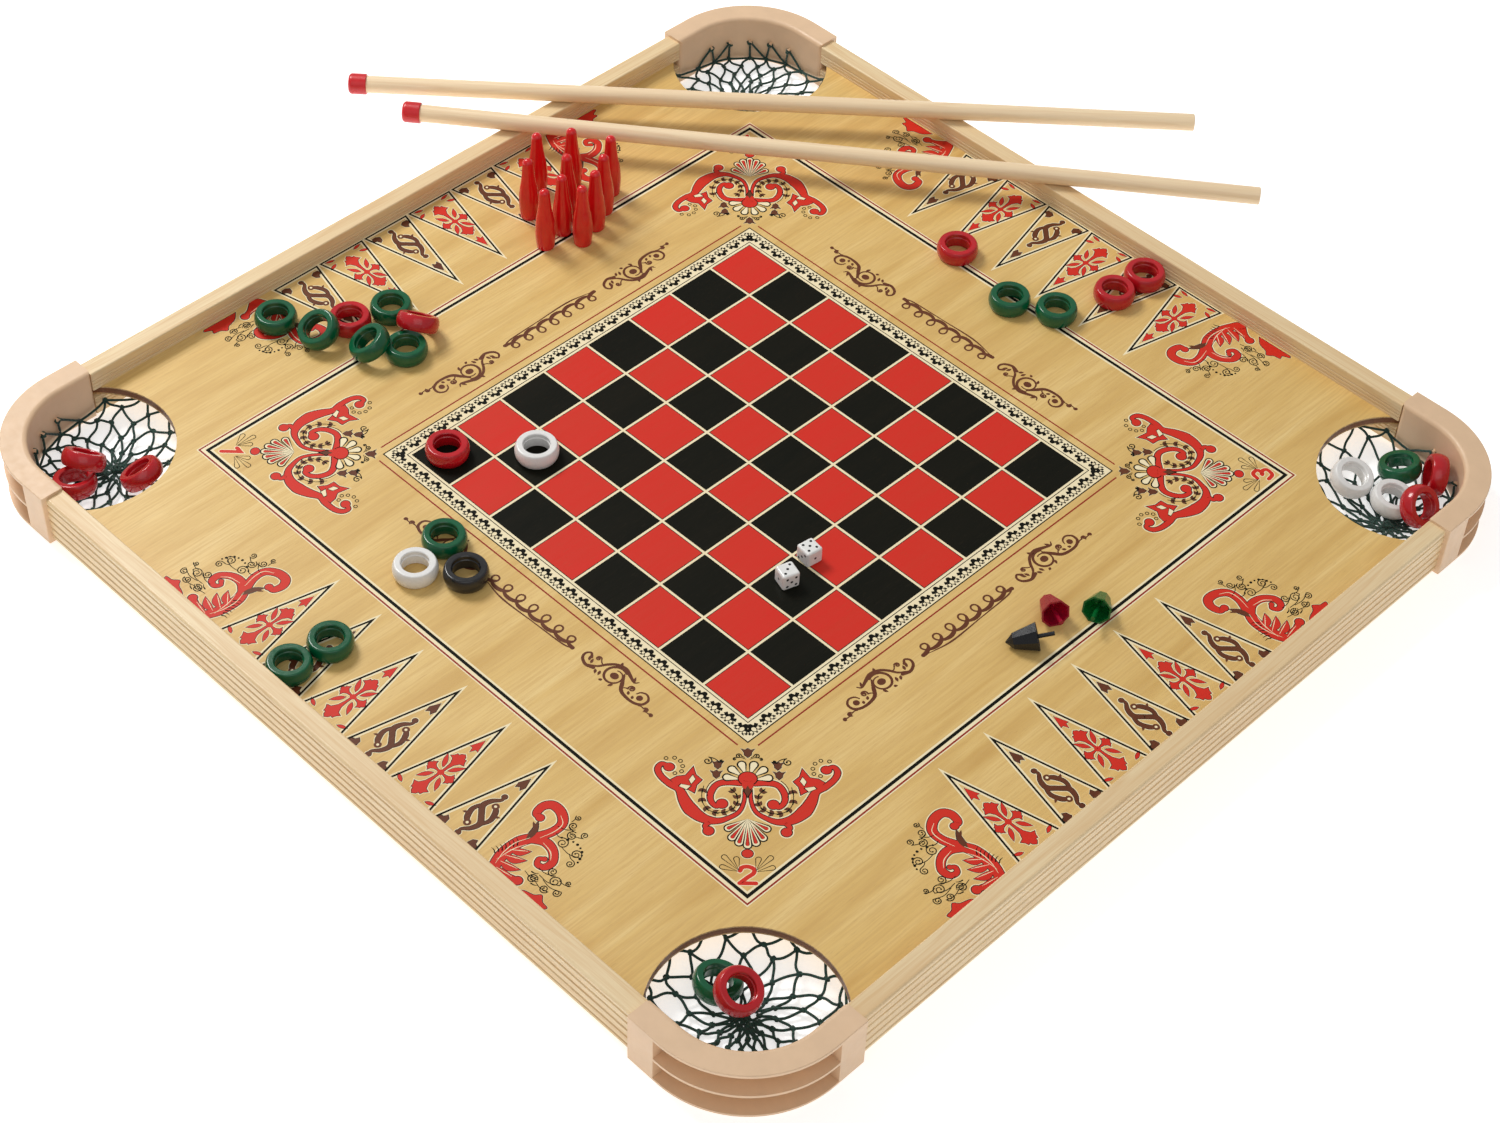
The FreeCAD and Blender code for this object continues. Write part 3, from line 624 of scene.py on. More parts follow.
def acanthus(pr):
    """The pair of leafy scrolls that grow out of the rail on each side."""
    main = [-3.46 - 8.76j, -3.35 - 8.45j, -3.34 - 8.13j, -3.43 - 7.90j, -3.54 - 7.64j, -3.53 - 7.42j,
            -3.37 - 7.29j, -3.18 - 7.28j, -3.09 - 7.40j, -3.12 - 7.56j, -3.22 - 7.58j]
    second = [-3.37 - 8.06j, -3.46 - 7.92j, -3.62 - 7.83j, -3.81 - 7.86j, -3.96 - 8.0j, -3.95 - 8.15j,
              -3.84 - 8.19j, -3.78 - 8.11j, -3.84 - 8.05j]
    stem = [-3.52 - 8.78j, -3.70 - 8.66j, -3.86 - 8.60j]
    lower = [-3.92 - 8.80j, -4.05 - 8.66j, -4.22 - 8.60j, -4.30 - 8.52j, -4.40 - 8.60j, -4.52 - 8.62j,
             -4.50 - 8.70j, -4.62 - 8.76j, -4.60 - 8.80j]
    curls = [
        (-3.52 - 7.50j, -3.68 - 7.33j, 0.075, 200, 1.5), (-3.66 - 7.38j, -3.80 - 7.47j, 0.085, 90, -1.6),
        (-3.72 - 7.45j, -3.93 - 7.33j, 0.06, 250, 1.4), (-3.60 - 7.30j, -3.62 - 7.17j, 0.05, 0, -1.3),
        (-3.60 - 7.60j, -3.80 - 7.66j, 0.10, 30, 1.6), (-3.84 - 7.72j, -4.10 - 7.66j, 0.09, 180, -1.5),
        (-4.02 - 7.72j, -4.16 - 7.84j, 0.07, 90, 1.4), (-3.90 - 8.22j, -4.10 - 8.12j, 0.08, 200, 1.6),
        (-4.0 - 8.30j, -4.25 - 8.22j, 0.10, 180, -1.6), (-4.1 - 8.32j, -4.42 - 8.34j, 0.07, 120, 1.5),
        (-4.05 - 8.42j, -4.24 - 8.42j, 0.075, 180, 1.6), (-3.80 - 8.40j, -3.98 - 8.42j, 0.085, 150, -1.7),
        (-4.28 - 8.16j, -4.42 - 8.10j, 0.05, 200, 1.3)]
    lobes = [(-3.36 - 8.30j, -3.60 - 8.10j, 0.13, 0.03), (-3.38 - 8.42j, -3.68 - 8.26j, 0.13, 0.04),
             (-3.42 - 8.54j, -3.74 - 8.44j, 0.13, 0.04), (-3.46 - 8.66j, -3.80 - 8.60j, 0.12, 0.03)]
    veins = [[-3.40 - 8.62j, -3.33 - 8.40j, -3.32 - 8.16j, -3.40 - 7.94j],
             [-3.36 - 8.56j, -3.37 - 8.36j, -3.40 - 8.20j, -3.46 - 8.06j],
             [-3.50 - 7.84j, -3.56 - 7.60j, -3.54 - 7.42j, -3.40 - 7.33j],
             [-3.60 - 7.86j, -3.80 - 7.90j, -3.92 - 8.0j]]
    feathers = [(complex(-3.25 - 0.02 * n, -8.50 + 0.055 * n), complex(0.11, 0.03 + 0.01 * n))
                for n in range(7)]
    feathers += [(complex(-3.88 - 0.05 * n, -8.34 - 0.05 * n), complex(-0.10, 0.05)) for n in range(4)]
    beads = curve([-3.72 - 7.60j, -3.95 - 7.52j, -4.14 - 7.58j, -4.22 - 7.74j])
    main_widths = [0.16, 0.19, 0.19, 0.15, 0.14, 0.15, 0.15, 0.14, 0.12, 0.08]
    for k in range(4):
        for mirror in (False, True):
            pr.at(1j ** k, mirror)
            for curl in curls:
                pr.curl(*curl)
            for n, bead in enumerate(beads[::3]):
                pr.fill("black", oval(bead, 0.018 + 0.006 * (n % 2), count=8))
            pr.shape("red", curve(lower, 4), 0.012, 0.035)
            pr.swash("red", curve(stem), [0.16, 0.10, 0.09], 0.015, 0.03, ball=0.075)
            pr.swash("red", curve(second), [0.10, 0.15, 0.15, 0.13, 0.12, 0.09, 0.07, 0.06],
                     0.013, 0.03, ball=0.04)
            for root, tip, width, bend in lobes:
                pr.shape("red", leaf(root, tip, width, bend), 0.010, 0.03)
                pr.stroke("light", curve([root, (root + tip) / 2, root + (tip - root) * 0.85]),
                          [0.006, 0.014, 0.005])
            pr.swash("red", curve(main), main_widths, 0.013, 0.03, ball=0.065)
            for vein in veins:
                pr.stroke("light", curve(vein), [0.005, 0.016, 0.006])
            for spot, heading in feathers:
                bowed = [spot, spot + 0.5 * heading + 0.12j * heading, spot + heading]
                pr.stroke("black", curve(bowed), [0.022, 0.016, 0.005])
            pr.shape("brown", leaf(-3.39 - 8.02j, -3.25 - 7.64j, 0.10, 0.03), 0.010, 0.03)
            pr.fill("brown", leaf(-3.38 - 7.80j, -3.20 - 7.70j, 0.06))


def tulip(pr, at, size):
    """A small brown flower head with three points."""
    cup = [0.0 - 0.9j, 0.55 - 0.35j, 0.62 + 0.25j, 1.05 + 0.85j, 0.45 + 0.62j, 0.0 + 1.0j,
           -0.45 + 0.62j, -1.05 + 0.85j, -0.62 + 0.25j, -0.55 - 0.35j]
    pr.shape("brown", [at + p * size for p in cup], 0.010, 0.03)


FAN_TOP = (17, 49, 81)          # leans of the upper fan's petals from upright
FAN_TOP_ROOT = -6.84j
FAN_FOOT_ROOT = -7.58j
FAN_FOOT = (0.33 - 7.79j, 0.26 - 7.98j, 0.14 - 8.08j, 0.0 - 8.13j)      # tips of the lower fan's petals


def big_scroll(pr):
    """The red scroll that sweeps round to a spiral, with the star in its bend and a row of beads."""
    foot = [0.40 - 7.62j, 0.55 - 7.65j, 0.63 - 7.73j, 0.58 - 7.82j]
    sweep = [1.19 - 6.60j, 1.30 - 6.55j, 1.36 - 6.65j, 1.31 - 6.79j, 1.17 - 6.94j, 1.03 - 7.04j,
             0.95 - 7.24j, 0.85 - 7.42j, 0.67 - 7.58j, 0.46 - 7.63j, 0.29 - 7.57j, 0.13 - 7.45j,
             0.055 - 7.25j, 0.045 - 7.02j]
    widths = [0.06, 0.07, 0.09, 0.09, 0.10, 0.11, 0.17, 0.21, 0.16, 0.10, 0.07, 0.055, 0.045, 0.035]
    spiral = [0.10 - 6.90j, 0.32 - 6.885j, 0.47 - 6.94j, 0.555 - 7.10j, 0.55 - 7.25j, 0.47 - 7.35j,
              0.385 - 7.30j]
    star = [0.825 - 6.60j, 0.786 - 6.75j, 0.69 - 6.85j, 0.77 - 6.95j, 0.80 - 7.10j, 0.89 - 7.04j,
            1.06 - 6.99j, 1.165 - 6.86j, 1.067 - 6.79j, 0.937 - 6.77j]
    openings = ([0.83 - 6.76j, 0.885 - 6.85j, 0.85 - 6.93j, 0.79 - 6.84j],
                [0.86 - 6.97j, 1.00 - 6.94j, 1.03 - 6.98j, 0.92 - 7.04j])
    beads = (1.24 - 6.44j, 1.11 - 6.43j, 1.02 - 6.49j, 0.985 - 6.59j, 1.00 - 6.69j, 1.10 - 6.73j)
    pr.swash("red", curve(foot), [0.05, 0.07, 0.07, 0.05], 0.015, 0.035, ball=0.080)
    pr.swash("red", curve(sweep), widths, 0.015, 0.035)
    for layer, size in (("cream", 0.115), ("line", 0.095), ("red", 0.080)):
        pr.fill(layer, oval(1.19 - 6.61j, size, size * 0.95))
    pr.swash("red", curve(spiral), [0.09, 0.10, 0.09, 0.09, 0.08, 0.07, 0.06], 0.015, 0.035,
             ball=0.085)
    pr.shape("red", star, 0.014, 0.05)
    for opening in openings:
        centre = sum(opening) / 4
        pr.fill("black", [centre + (p - centre) * 1.25 for p in opening])
        pr.fill("light", opening)
    for bead in beads:
        pr.stroke("black", oval(bead, 0.030, count=12), 0.013, closed=True)


def sprig(pr):
    """A bent stem with pairs of leaves and a pointed bud between them, and a bare stalk beside it."""
    stem = curve([0.66 - 6.96j, 0.69 - 7.14j, 0.66 - 7.32j, 0.56 - 7.44j, 0.43 - 7.475j,
                  0.30 - 7.44j, 0.20 - 7.36j, 0.155 - 7.24j, 0.18 - 7.10j, 0.26 - 7.02j], 3)
    pr.stroke("black", stem, 0.012, caps=False)
    for n in range(1, len(stem) - 1, 3):
        along = stem[n + 1] - stem[n - 1]
        along /= abs(along)
        for side in (-1, 1):
            end = stem[n] + along * cmath.exp(0.75j * side) * 0.085
            pr.shape("brown", leaf(stem[n], end, 0.045), 0.007, 0)
        pr.fill("black", leaf(stem[n], stem[n] + along * 0.10, 0.028))
    pr.stroke("black", curve([0.60 - 7.16j, 0.62 - 7.04j, 0.58 - 6.93j, 0.50 - 6.84j]), 0.012)


def tendrils(pr):
    """Two flower heads on the stalk, and the fine curls round them."""
    tulip(pr, 0.475 - 6.74j, 0.085)
    tulip(pr, 0.455 - 6.555j, 0.085)
    for curl in ((0.43 - 6.50j, 0.61 - 6.475j, 0.075, 100, 1.25, 0.013),
                 (0.46 - 6.50j, 0.40 - 6.47j, 0.030, 200, 1.2, 0.012),
                 (0.05 - 6.40j, 0.14 - 6.37j, 0.050, 190, -1.2, 0.012),
                 (0.03 - 6.43j, 0.20 - 6.43j, 0.030, 120, -1.2, 0.010)):
        pr.curl(*curl)


def fans(pr):
    """Half of each fan of petals: round the numeral, above the middle and below it."""
    for root, tip in ((0.125 - 8.54j, 0.17 - 8.29j), (0.13 - 8.54j, 0.37 - 8.27j),
                      (0.14 - 8.56j, 0.41 - 8.47j)):
        pr.stroke("black", petal(root, tip, 0.085), 0.012, closed=True)
    for lean in FAN_TOP:
        outward = 1j * cmath.exp(-1j * math.radians(lean))
        base = FAN_TOP_ROOT + outward * 0.10
        pr.fill("black", petal(base, FAN_TOP_ROOT + outward * 0.395, 0.155))
        pr.fill("light", petal(base, FAN_TOP_ROOT + outward * 0.370, 0.105))
        pr.stroke("black", oval(FAN_TOP_ROOT + outward * 0.30, 0.022, count=10), 0.011, closed=True)
    for tip in FAN_FOOT:
        along = tip - FAN_FOOT_ROOT
        pr.fill("black", petal(FAN_FOOT_ROOT, tip + 0.022 * along / abs(along), 0.150))
        pr.fill("light", petal(FAN_FOOT_ROOT, tip, 0.108))
        inner, outer = FAN_FOOT_ROOT + along * 0.30, FAN_FOOT_ROOT + along * 0.93
        pr.fill("top black", petal(inner, outer, 0.066))
        pr.fill("top red", petal(inner, outer, 0.046))


def heart(pr):
    """What lies on the diagonal itself: a flower head, the red drop, a lozenge and the lower ball."""
    tulip(pr, 0 - 6.31j, 0.095)
    for layer, size in (("top black", 0.155), ("top red", 0.138)):
        pr.fill(layer, oval(0 - 6.81j, size, size * 0.92))
        pr.stroke(layer, curve([0 - 6.84j, 0 - 6.93j]), [0.10 + size / 3, 0.14 + size / 3])
    for layer, size in (("top black", 1.3), ("top brown", 1.0)):
        pr.fill(layer, [-7.05j + p * size for p in (0.11j, 0.052, -0.11j, -0.052)])
    pr.shape("red", oval(-8.23j, 0.082, 0.074), 0.014, 0.05)


NUMERALS = {
    1: [[-0.07 - 8.54j, 0.02 - 8.47j, 0.02 - 8.79j]],
    2: [curve([-0.11 - 8.55j, -0.08 - 8.49j, 0.0 - 8.47j, 0.09 - 8.51j, 0.09 - 8.59j,
              0.0 - 8.67j, -0.10 - 8.765j]), [-0.115 - 8.775j, 0.125 - 8.775j]],
    3: [curve([-0.10 - 8.53j, 0.0 - 8.47j, 0.09 - 8.53j, 0.07 - 8.60j, -0.01 - 8.62j]),
        curve([-0.01 - 8.62j, 0.09 - 8.64j, 0.11 - 8.72j, 0.0 - 8.79j, -0.11 - 8.72j])],
    4: [[0.05 - 8.80j, 0.05 - 8.48j, -0.11 - 8.71j, 0.13 - 8.71j]],
}


def medallion(pr, corner, numeral):
    """The corner ornament, drawn upright with the corner below, then turned into its corner."""
    diagonal = cmath.exp(1j * math.pi / 4) * 1j ** corner
    for mirror in (False, True):
        pr.at(diagonal, mirror)
        big_scroll(pr)
        sprig(pr)
        tendrils(pr)
        fans(pr)
    pr.at(diagonal)
    heart(pr)
    for path in NUMERALS[numeral]:
        pr.stroke("cream", path, 0.10)
        pr.stroke("red", path, 0.070)


FLOURISH_LOOPS = 7
FLOURISH_STEPS = 140


def flourish(pr):
    """A row of loops, thick on the downstroke, over a plain underline."""
    loops, beat = [], []
    for n in range(FLOURISH_STEPS + 1):
        t = n / FLOURISH_STEPS
        swing = TAU * FLOURISH_LOOPS * t
        height = 0.115 * math.cos(swing) * (0.75 + 0.25 * math.sin(math.pi * t))
        loops.append(complex(-1.05 + 2.1 * t + 0.13 * math.sin(swing), -4.86 - height))
        beat.append(0.032 + 0.045 * max(0.0, math.sin(swing + 1.2)))
    pr.stroke("brown", loops, beat)
    under = curve([-0.98 - 4.97j, -0.5 - 5.05j, 0.2 - 5.03j, 0.9 - 5.0j, 1.06 - 4.92j])
    pr.stroke("brown", under, [0.01, 0.035, 0.02, 0.03, 0.015])


def scrollwork(pr):
    """Brown scrolls either side of a flourish, along each side of the squares."""
    arm = [1.58 - 4.99j, 1.44 - 5.03j, 1.31 - 4.97j, 1.27 - 4.87j, 1.33 - 4.80j, 1.40 - 4.86j]
    arch = [1.46 - 5.01j, 1.60 - 4.92j, 1.68 - 4.79j, 1.79 - 4.68j, 1.95 - 4.64j, 2.10 - 4.69j,
            2.24 - 4.74j, 2.30 - 4.68j]
    wave = [2.02 - 4.74j, 2.12 - 4.88j, 2.22 - 5.00j, 2.38 - 5.04j, 2.54 - 5.03j, 2.65 - 4.96j,
            2.66 - 4.84j, 2.57 - 4.77j, 2.47 - 4.80j, 2.43 - 4.88j]
    arch_widths = [0.02, 0.04, 0.05, 0.05, 0.065, 0.06, 0.035, 0.015]
    wave_widths = [0.03, 0.07, 0.06, 0.05, 0.05, 0.045, 0.035, 0.03, 0.02]
    curls = ((2.20 - 4.94j, 2.31 - 4.86j, 0.06, 220, -1.3, 0.020),
             (2.62 - 5.02j, 2.77 - 5.00j, 0.045, 180, -1.2, 0.018),
             (2.76 - 5.05j, 2.90 - 5.02j, 0.036, 180, -1.2, 0.016),
             (1.66 - 4.84j, 1.50 - 4.80j, 0.05, 20, 1.2, 0.018))
    leaves = ((1.70 - 4.95j, 1.74 - 5.05j), (1.62 - 4.98j, 1.68 - 5.06j), (1.42 - 4.94j, 1.36 - 4.84j),
              (1.48 - 4.96j, 1.44 - 4.86j), (2.36 - 4.98j, 2.30 - 4.92j), (2.46 - 5.00j, 2.42 - 4.94j),
              (2.24 - 4.76j, 2.18 - 4.64j), (2.04 - 5.00j, 2.00 - 5.09j), (1.86 - 5.06j, 1.80 - 5.10j),
              (1.86 - 4.66j, 1.82 - 4.58j))
    for k in range(4):
        for mirror in (False, True):
            pr.at(1j ** k, mirror)
            pr.stroke("brown", curve(arm), [0.06, 0.055, 0.05, 0.04, 0.035, 0.05])
            pr.stroke("brown", curve(arch), arch_widths)
            pr.stroke("brown", curve(wave), wave_widths)
            pr.stroke("brown", coil(1.93 - 4.87j, 0.20, 0.115, 60, 1.15), [0.05, 0.045, 0.03, 0.02])
            pr.fill("brown", oval(1.93 - 4.87j, 0.075, 0.065))
            pr.fill("brown", oval(2.53 - 4.90j, 0.055))
            for curl in curls:
                pr.curl(*curl, "brown")
            for root_and_tip in leaves:
                pr.fill("brown", leaf(*root_and_tip, 0.05))
        pr.at(1j ** k)
        flourish(pr)


def clear_of_pockets(mesh):
    """Drops faces that would lie over a pocket's opening or under a rail."""
    kept = []
    edge = PRINT_EDGE * SQUARE
    for face in mesh.faces:
        x = sum(abs(mesh.verts[i][0]) for i in face) / len(face)
        y = sum(abs(mesh.verts[i][1]) for i in face) / len(face)
        if max(x, y) < edge and math.hypot(x / SQUARE - POCKET_AT, y / SQUARE - POCKET_AT) > POCKET_R:
            kept.append(face)
    mesh.faces = kept


sheet = Print()
checkers(sheet)
border(sheet)
points_row(sheet)
acanthus(sheet)
scrollwork(sheet)
for corner, numeral in enumerate((2, 3, 4, 1)):
    medallion(sheet, corner, numeral)
INK_SHINE = 0.2
BLACK_SHINE = 0.06
INK_COLOURS = {                # fresh, and where the wood shows through
    "cream": ((0.90, 0.79, 0.53), (0.85, 0.69, 0.40)),
    "line": ((0.008, 0.007, 0.005), (0.03, 0.02, 0.010)),
    "maroon": ((0.29, 0.012, 0.008), (0.34, 0.06, 0.02)),
    "red": ((0.66, 0.025, 0.014), (0.55, 0.045, 0.018)),
    "brown": ((0.115, 0.030, 0.012), (0.20, 0.075, 0.028)),
    "black": ((0.0065, 0.0070, 0.0045), (0.018, 0.014, 0.008)),
}
INK_COLOURS["light"] = INK_COLOURS["cream"]
for ink in ("black", "red", "brown"):
    INK_COLOURS["top " + ink] = INK_COLOURS[ink]
for ink, mesh in sheet.inks.items():
    clear_of_pockets(mesh)
    ink_look = printed("ink_" + ink, *INK_COLOURS[ink], BLACK_SHINE if "black" in ink else INK_SHINE)
    mesh.piece("print_" + ink.replace(" ", "_"), ink_look, "board")


# -------------------- the nets
# In mm, in the right-hand corner's quarter, and turned from there into each corner.
NET_CENTRE = 297.0
KNOTS_ROUND = 16
NET_LEVELS = (1.0, 0.87, 0.71, 0.52, 0.32, 0.14)      # rows of knots, from the rim to the gather
NET_DISH = ((0.0, -21.0), (21.4, -21.0), (34.4, -18.9), (51.4, -13.0), (60.4, -6.8))
TWINE_R = 0.85
WALL_CENTRE = 288.0
WALL_R = 50.5
WALL_CLEAR = 1.4
PEG_Z = -4.5
PEG_ANGLES = (9, 27, 45, 63, 81)
PEG_REACH = WALL_R - 1.5
RIM_REACH = 60.0
STRAIGHT_Z = -6.6             # a strand with an end above this is straight, and the rest lie on the dish
MESH_KNOT, LAST_KNOT, TIED_KNOT = 1.35, 1.15, 1.9
GATHERS = {"near": (293.0, 291.5), "far": (278.7, 283.2),
           "left": (288.0, 288.0), "right": (309.0, 272.0)}


def dish_height(x, y):
    """Height of the net's mid-surface, in mm, at a point in the corner's own quarter."""
    r = math.hypot(x - NET_CENTRE, y - NET_CENTRE)
    at = min(max(bisect.bisect([p[0] for p in NET_DISH], r), 1), len(NET_DISH) - 1)
    (r0, z0), (r1, z1) = NET_DISH[at - 1], NET_DISH[at]
    return z0 + (z1 - z0) * min(1.0, (r - r0) / (r1 - r0))


def inside_wall(x, y):
    """Whether a point is clear of the casting's inner wall, which is round at the corner."""
    reach = WALL_CENTRE + WALL_R - WALL_CLEAR
    if x > WALL_CENTRE and y > WALL_CENTRE:
        return math.hypot(x - WALL_CENTRE, y - WALL_CENTRE) < WALL_R - WALL_CLEAR
    return x < reach and y < reach


def rim_point(angle):
    """Where the net's edge is in that direction: against the casting, or under the panel."""
    r = RIM_REACH
    while not inside_wall(NET_CENTRE + r * math.cos(angle), NET_CENTRE + r * math.sin(angle)):
        r -= 0.4
    return Vector((NET_CENTRE + r * math.cos(angle), NET_CENTRE + r * math.sin(angle), 0))


def tube(mesh, path, radius, sides=7):
    """A round strand along the path, with its length and its turn as UVs."""
    verts, uvs, faces = [], [], []
    run = 0.0
    for i, p in enumerate(path):
        if i:
            run += (p - path[i - 1]).length
        along = (path[min(i + 1, len(path) - 1)] - path[max(i - 1, 0)]).normalized()
        side = along.cross(Vector((0, 0, 1)))
        side = side.normalized() if side.length > 1e-4 else Vector((1, 0, 0))
        up = side.cross(along)
        for k in range(sides + 1):
            a = TAU * k / sides
            verts.append(tuple((p + (side * math.cos(a) + up * math.sin(a)) * radius) * MM))
            uvs.append((run * MM, k / sides))
    ring = sides + 1
    for i in range(len(path) - 1):
        for k in range(sides):
            a = i * ring + k
            faces.append((a, a + 1, a + ring + 1, a + ring))
    mesh.put(verts, faces, uvs)


def knot(mesh, at, size, rng):
    """A tied knot: two tight turns of twine, crossed, round the strands."""
    for lean in (0.0, 1.2):
        heading = rng.uniform(0, math.pi) + lean
        path = []
        for k in range(11):
            a = TAU * k / 10
            flat = Vector((math.cos(a) * size, math.sin(a) * size * 0.55,
                           math.sin(a + lean) * size * 0.45))
            path.append(at + Matrix.Rotation(heading, 3, "Z") @ flat)
        tube(mesh, path, TWINE_R * 0.9, 6)


def make_net(corner):
    """A pocket's net: rows of knots on the dish, strands between them, and the gather's big knots."""
    rng = random.Random(sum(map(ord, corner)))
    quarter = Matrix.Rotation(math.pi / 2 * CORNER_TURNS[corner], 3, "Z")
    gather = Vector((*GATHERS[corner], 0))
    mesh = Mesh()

    def settle(p, lift=0.0):
        """The point moved on to the dish, inside the wall."""
        z = dish_height(p.x, p.y)
        while not inside_wall(p.x, p.y):
            p = p + (Vector((NET_CENTRE, NET_CENTRE, 0)) - p).normalized() * 0.3
        return Vector((p.x, p.y, z + lift))

    def strand(a, b, slack, steps=7):
        """A slack length of twine between two knots."""
        flat_a, flat_b = a.to_2d().to_3d(), b.to_2d().to_3d()
        side = (flat_b - flat_a).cross(Vector((0, 0, 1)))
        side = side.normalized() if side.length > 1e-6 else Vector((1, 0, 0))
        bow = rng.uniform(-slack, slack)
        kink = rng.uniform(-slack, slack) * 0.4
        path = []
        for k in range(steps + 1):
            t = k / steps
            p = flat_a.lerp(flat_b, t) + side * (bow * math.sin(math.pi * t) + kink * math.sin(TAU * t))
            z = a.z + (b.z - a.z) * t if max(a.z, b.z) > STRAIGHT_Z else None
            path.append(settle(p) if z is None else Vector((p.x, p.y, z)))
        tube(mesh, [quarter @ p for p in path], TWINE_R)

    rows = []
    for level, share in enumerate(NET_LEVELS):
        row = []
        for j in range(KNOTS_ROUND):
            angle = TAU * (j + 0.5 * (level % 2)) / KNOTS_ROUND + rng.uniform(-0.05, 0.05)
            s = share + (rng.uniform(-0.035, 0.035) if level else 0.0)
            p = gather + (rim_point(angle) - gather) * s
            swirl = 0.22 * (1 - share) ** 2
            p = gather + Matrix.Rotation(swirl, 3, "Z") @ (p - gather)
            row.append(settle(p))
        rows.append(row)
    for level in range(1, len(rows)):
        for j in range(KNOTS_ROUND):
            a = rows[level - 1][j]
            step = 1 if level % 2 == 0 else -1
            slack = 1.7 * (1.15 - 0.12 * level)
            strand(a, rows[level][j], slack)
            strand(a, rows[level][(j + step) % KNOTS_ROUND], slack)
    for row in rows[:-1]:
        for p in row:
            knot(mesh, quarter @ p, MESH_KNOT, rng)
    bottom = settle(gather, 0.6)
    for p in rows[-1]:
        strand(p, bottom + Vector((rng.uniform(-1, 1), rng.uniform(-1, 1), 0)), 1.6)
        knot(mesh, quarter @ p, LAST_KNOT, rng)
    for n in range(5):
        jitter = Vector((rng.uniform(-1.3, 1.3), rng.uniform(-1.3, 1.3), 0.3 + 0.5 * n))
        knot(mesh, quarter @ (bottom + jitter), TIED_KNOT, rng)
    for angle in PEG_ANGLES:
        a = math.radians(angle)
        tip = Vector((WALL_CENTRE + PEG_REACH * math.cos(a),
                      WALL_CENTRE + PEG_REACH * math.sin(a), PEG_Z))
        nearest = sorted(rows[0], key=lambda p: (p - tip).length)[:2]
        for p in nearest:
            strand(p, tip + Vector((0, 0, 0.9)), 0.8)
        knot(mesh, quarter @ (tip + Vector((0, 0, -0.2))), TIED_KNOT, rng)
    for j in range(KNOTS_ROUND):
        strand(rows[0][j], rows[0][(j + 1) % KNOTS_ROUND], 0.3)
    net = mesh.piece("net_twine_" + corner, LOOKS["twine"], "board", smooth=True)
    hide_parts("pocket_net_" + corner)


LOOKS["twine"] = twine()
for corner in CORNER_TURNS:
    make_net(corner)


# -------------------- pips on the dice
PIP_R = 0.92 * MM
PIP_PROUD = 0.03 * MM
PIP_EDGE = 0.005 * MM
PIP_SIDES = 16
PIP_SPOTS = {1: [(0, 0)], 2: [(-1, -1), (1, 1)], 3: [(-1, -1), (0, 0), (1, 1)],
             4: [(-1, -1), (-1, 1), (1, -1), (1, 1)],
             5: [(-1, -1), (-1, 1), (1, -1), (1, 1), (0, 0)],
             6: [(-1, -1), (-1, 0), (-1, 1), (1, -1), (1, 0), (1, 1)]}
DICE = {"die_1": (-17.6, {"top": 3, "x": 5, "-x": 2, "y": 6, "-y": 1}),
        "die_2": (-8.0, {"top": 5, "x": 1, "-x": 6, "y": 4, "-y": 3})}
FACES = {name: (Vector(out), Vector(right)) for name, out, right in (      # outward, and to the right
    ("top", (0, 0, 1), (1, 0, 0)), ("x", (1, 0, 0), (0, 1, 0)), ("-x", (-1, 0, 0), (0, 1, 0)),
    ("y", (0, 1, 0), (1, 0, 0)), ("-y", (0, -1, 0), (1, 0, 0)))}
pip_ink = moulded("pip_look", (0.006, 0.006, 0.007), 0.35, 0.7)


def make_pips(die, turn, faces):
    """Shallow round pips on the five faces that show, turned with the die."""
    low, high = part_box(die)
    centre = (low + high) / 2
    half = (high.z - low.z) / 2
    step = half * 0.5
    mesh = Mesh()
    heading = Matrix.Rotation(math.radians(turn), 3, "Z")
    for face, value in faces.items():
        out, right = FACES[face]
        up = out.cross(right)
        for a, b in PIP_SPOTS[value]:
            at = out * half + (right * a + up * (-b if face == "top" else b)) * step
            verts = [at + out * PIP_PROUD]
            for k in range(PIP_SIDES):
                t = TAU * k / PIP_SIDES
                verts.append(at + (right * math.cos(t) + up * math.sin(t)) * PIP_R + out * PIP_EDGE)
            spots = [tuple(centre + heading @ v) for v in verts]
            mesh.put(spots, [(0, 1 + k, 1 + (k + 1) % PIP_SIDES) for k in range(PIP_SIDES)])
    pips = mesh.piece(die + "_pips", pip_ink, die)


for die, (turn, faces) in DICE.items():
    make_pips(die, turn, faces)


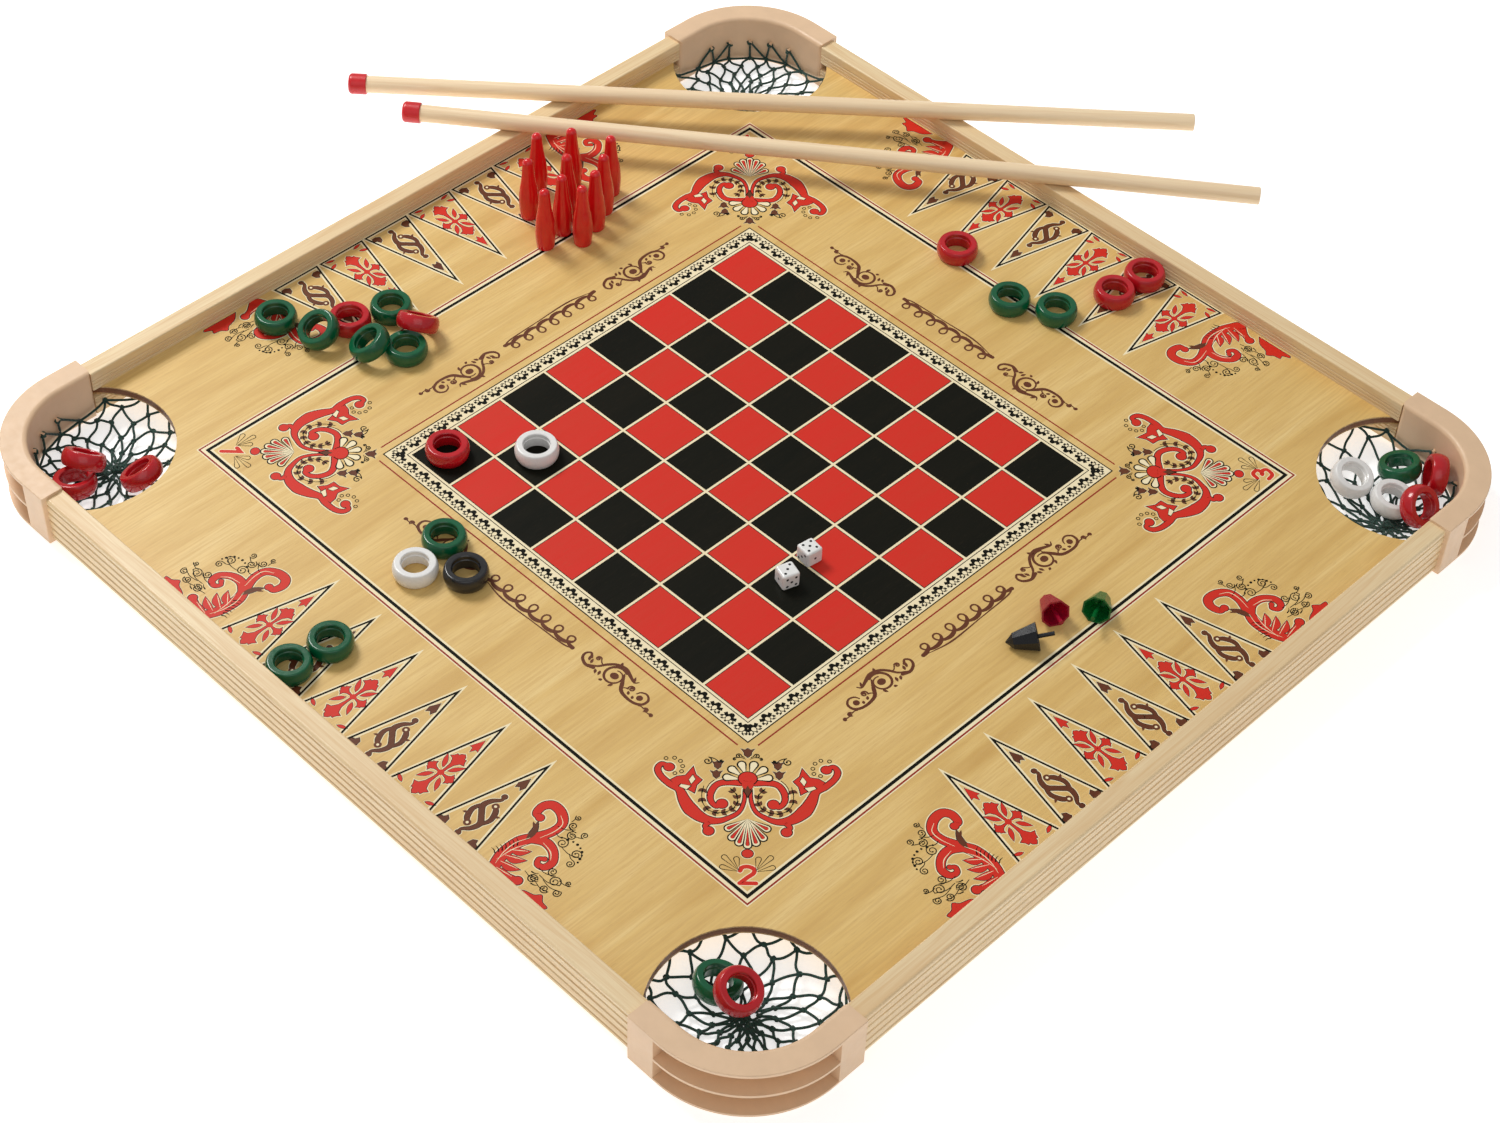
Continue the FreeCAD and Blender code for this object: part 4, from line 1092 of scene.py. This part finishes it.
# -------------------- floor, light and camera
FLOOR_HALF = 40.0
FLOOR_DROP = 0.2 * MM
FLOOR_GLOW = 0.55
SKY_STRENGTH = 0.42
floor_z = CAD_BOX[0].z - FLOOR_DROP
floor_mesh = bpy.data.meshes.new("floor")
floor_corners = [(x * FLOOR_HALF, y * FLOOR_HALF, floor_z)
                 for x, y in ((-1, -1), (1, -1), (1, 1), (-1, 1))]
floor_mesh.from_pydata(floor_corners, [], QUAD)
floor = bpy.data.objects.new("floor", floor_mesh)
bpy.context.scene.collection.objects.link(floor)
floor_paint = Paint("floor_look", Roughness=0.9, Emission_Strength=FLOOR_GLOW)
mottle = floor_paint.noise(floor_paint.stretched(2, 2), detail=2)
floor_paint.put("Base Color", floor_paint.ramp(mottle, (0.3, 0.86), (0.7, 0.89)))
floor_paint.put("Emission Color", (1.0, 1.0, 1.0, 1.0))
floor_mesh.materials.append(floor_paint.mat)


def soft_light(name, at, size, power, colour):
    """A square area light aimed at the board's centre."""
    data = bpy.data.lights.new(name, "AREA")
    data.shape, data.size, data.energy, data.color = "SQUARE", size, power, colour
    lamp = bpy.data.objects.new(name, data)
    lamp.location = at
    lamp.rotation_mode = "QUATERNION"
    lamp.rotation_quaternion = (-Vector(at)).to_track_quat("-Z", "Y")
    bpy.context.scene.collection.objects.link(lamp)


soft_light("key", at=(-1.75, 0.0, 2.0), size=0.85, power=44, colour=(1.0, 0.985, 0.96))
soft_light("fill", at=(1.6, -1.4, 2.4), size=2.6, power=15, colour=(1.0, 1.0, 1.0))
world = bpy.data.worlds.new("studio")
bpy.context.scene.world = world
world.use_nodes = True
sky = world.node_tree.nodes["Background"]
sky.inputs["Color"].default_value = (1.0, 1.0, 1.0, 1.0)
sky.inputs["Strength"].default_value = SKY_STRENGTH
bpy.context.scene.view_settings.view_transform = "Standard"

# Found from the printed grid in the photo: the place in metres, the lens and sensor in mm.
CAMERA_AT = Vector((0.89933, -0.94918, 1.27953))
RIGHTWARD = Vector((0.70539881, 0.70816886, 0.03015593))
DOWNWARD = Vector((0.5276822, -0.49626131, -0.68940279))
FORWARD = Vector((-0.47324837, 0.50221666, -0.72375024))
LENS = 68.4
SENSOR_WIDTH = 36.0
camera_data = bpy.data.cameras.new("camera")
camera_data.lens = LENS
camera_data.sensor_width = SENSOR_WIDTH
camera = bpy.data.objects.new("camera", camera_data)
camera_turn = Matrix((RIGHTWARD, -DOWNWARD, -FORWARD)).transposed().to_4x4()
camera.matrix_world = Matrix.Translation(CAMERA_AT) @ camera_turn
bpy.context.scene.collection.objects.link(camera)
bpy.context.scene.camera = camera

bpy.context.view_layer.update()
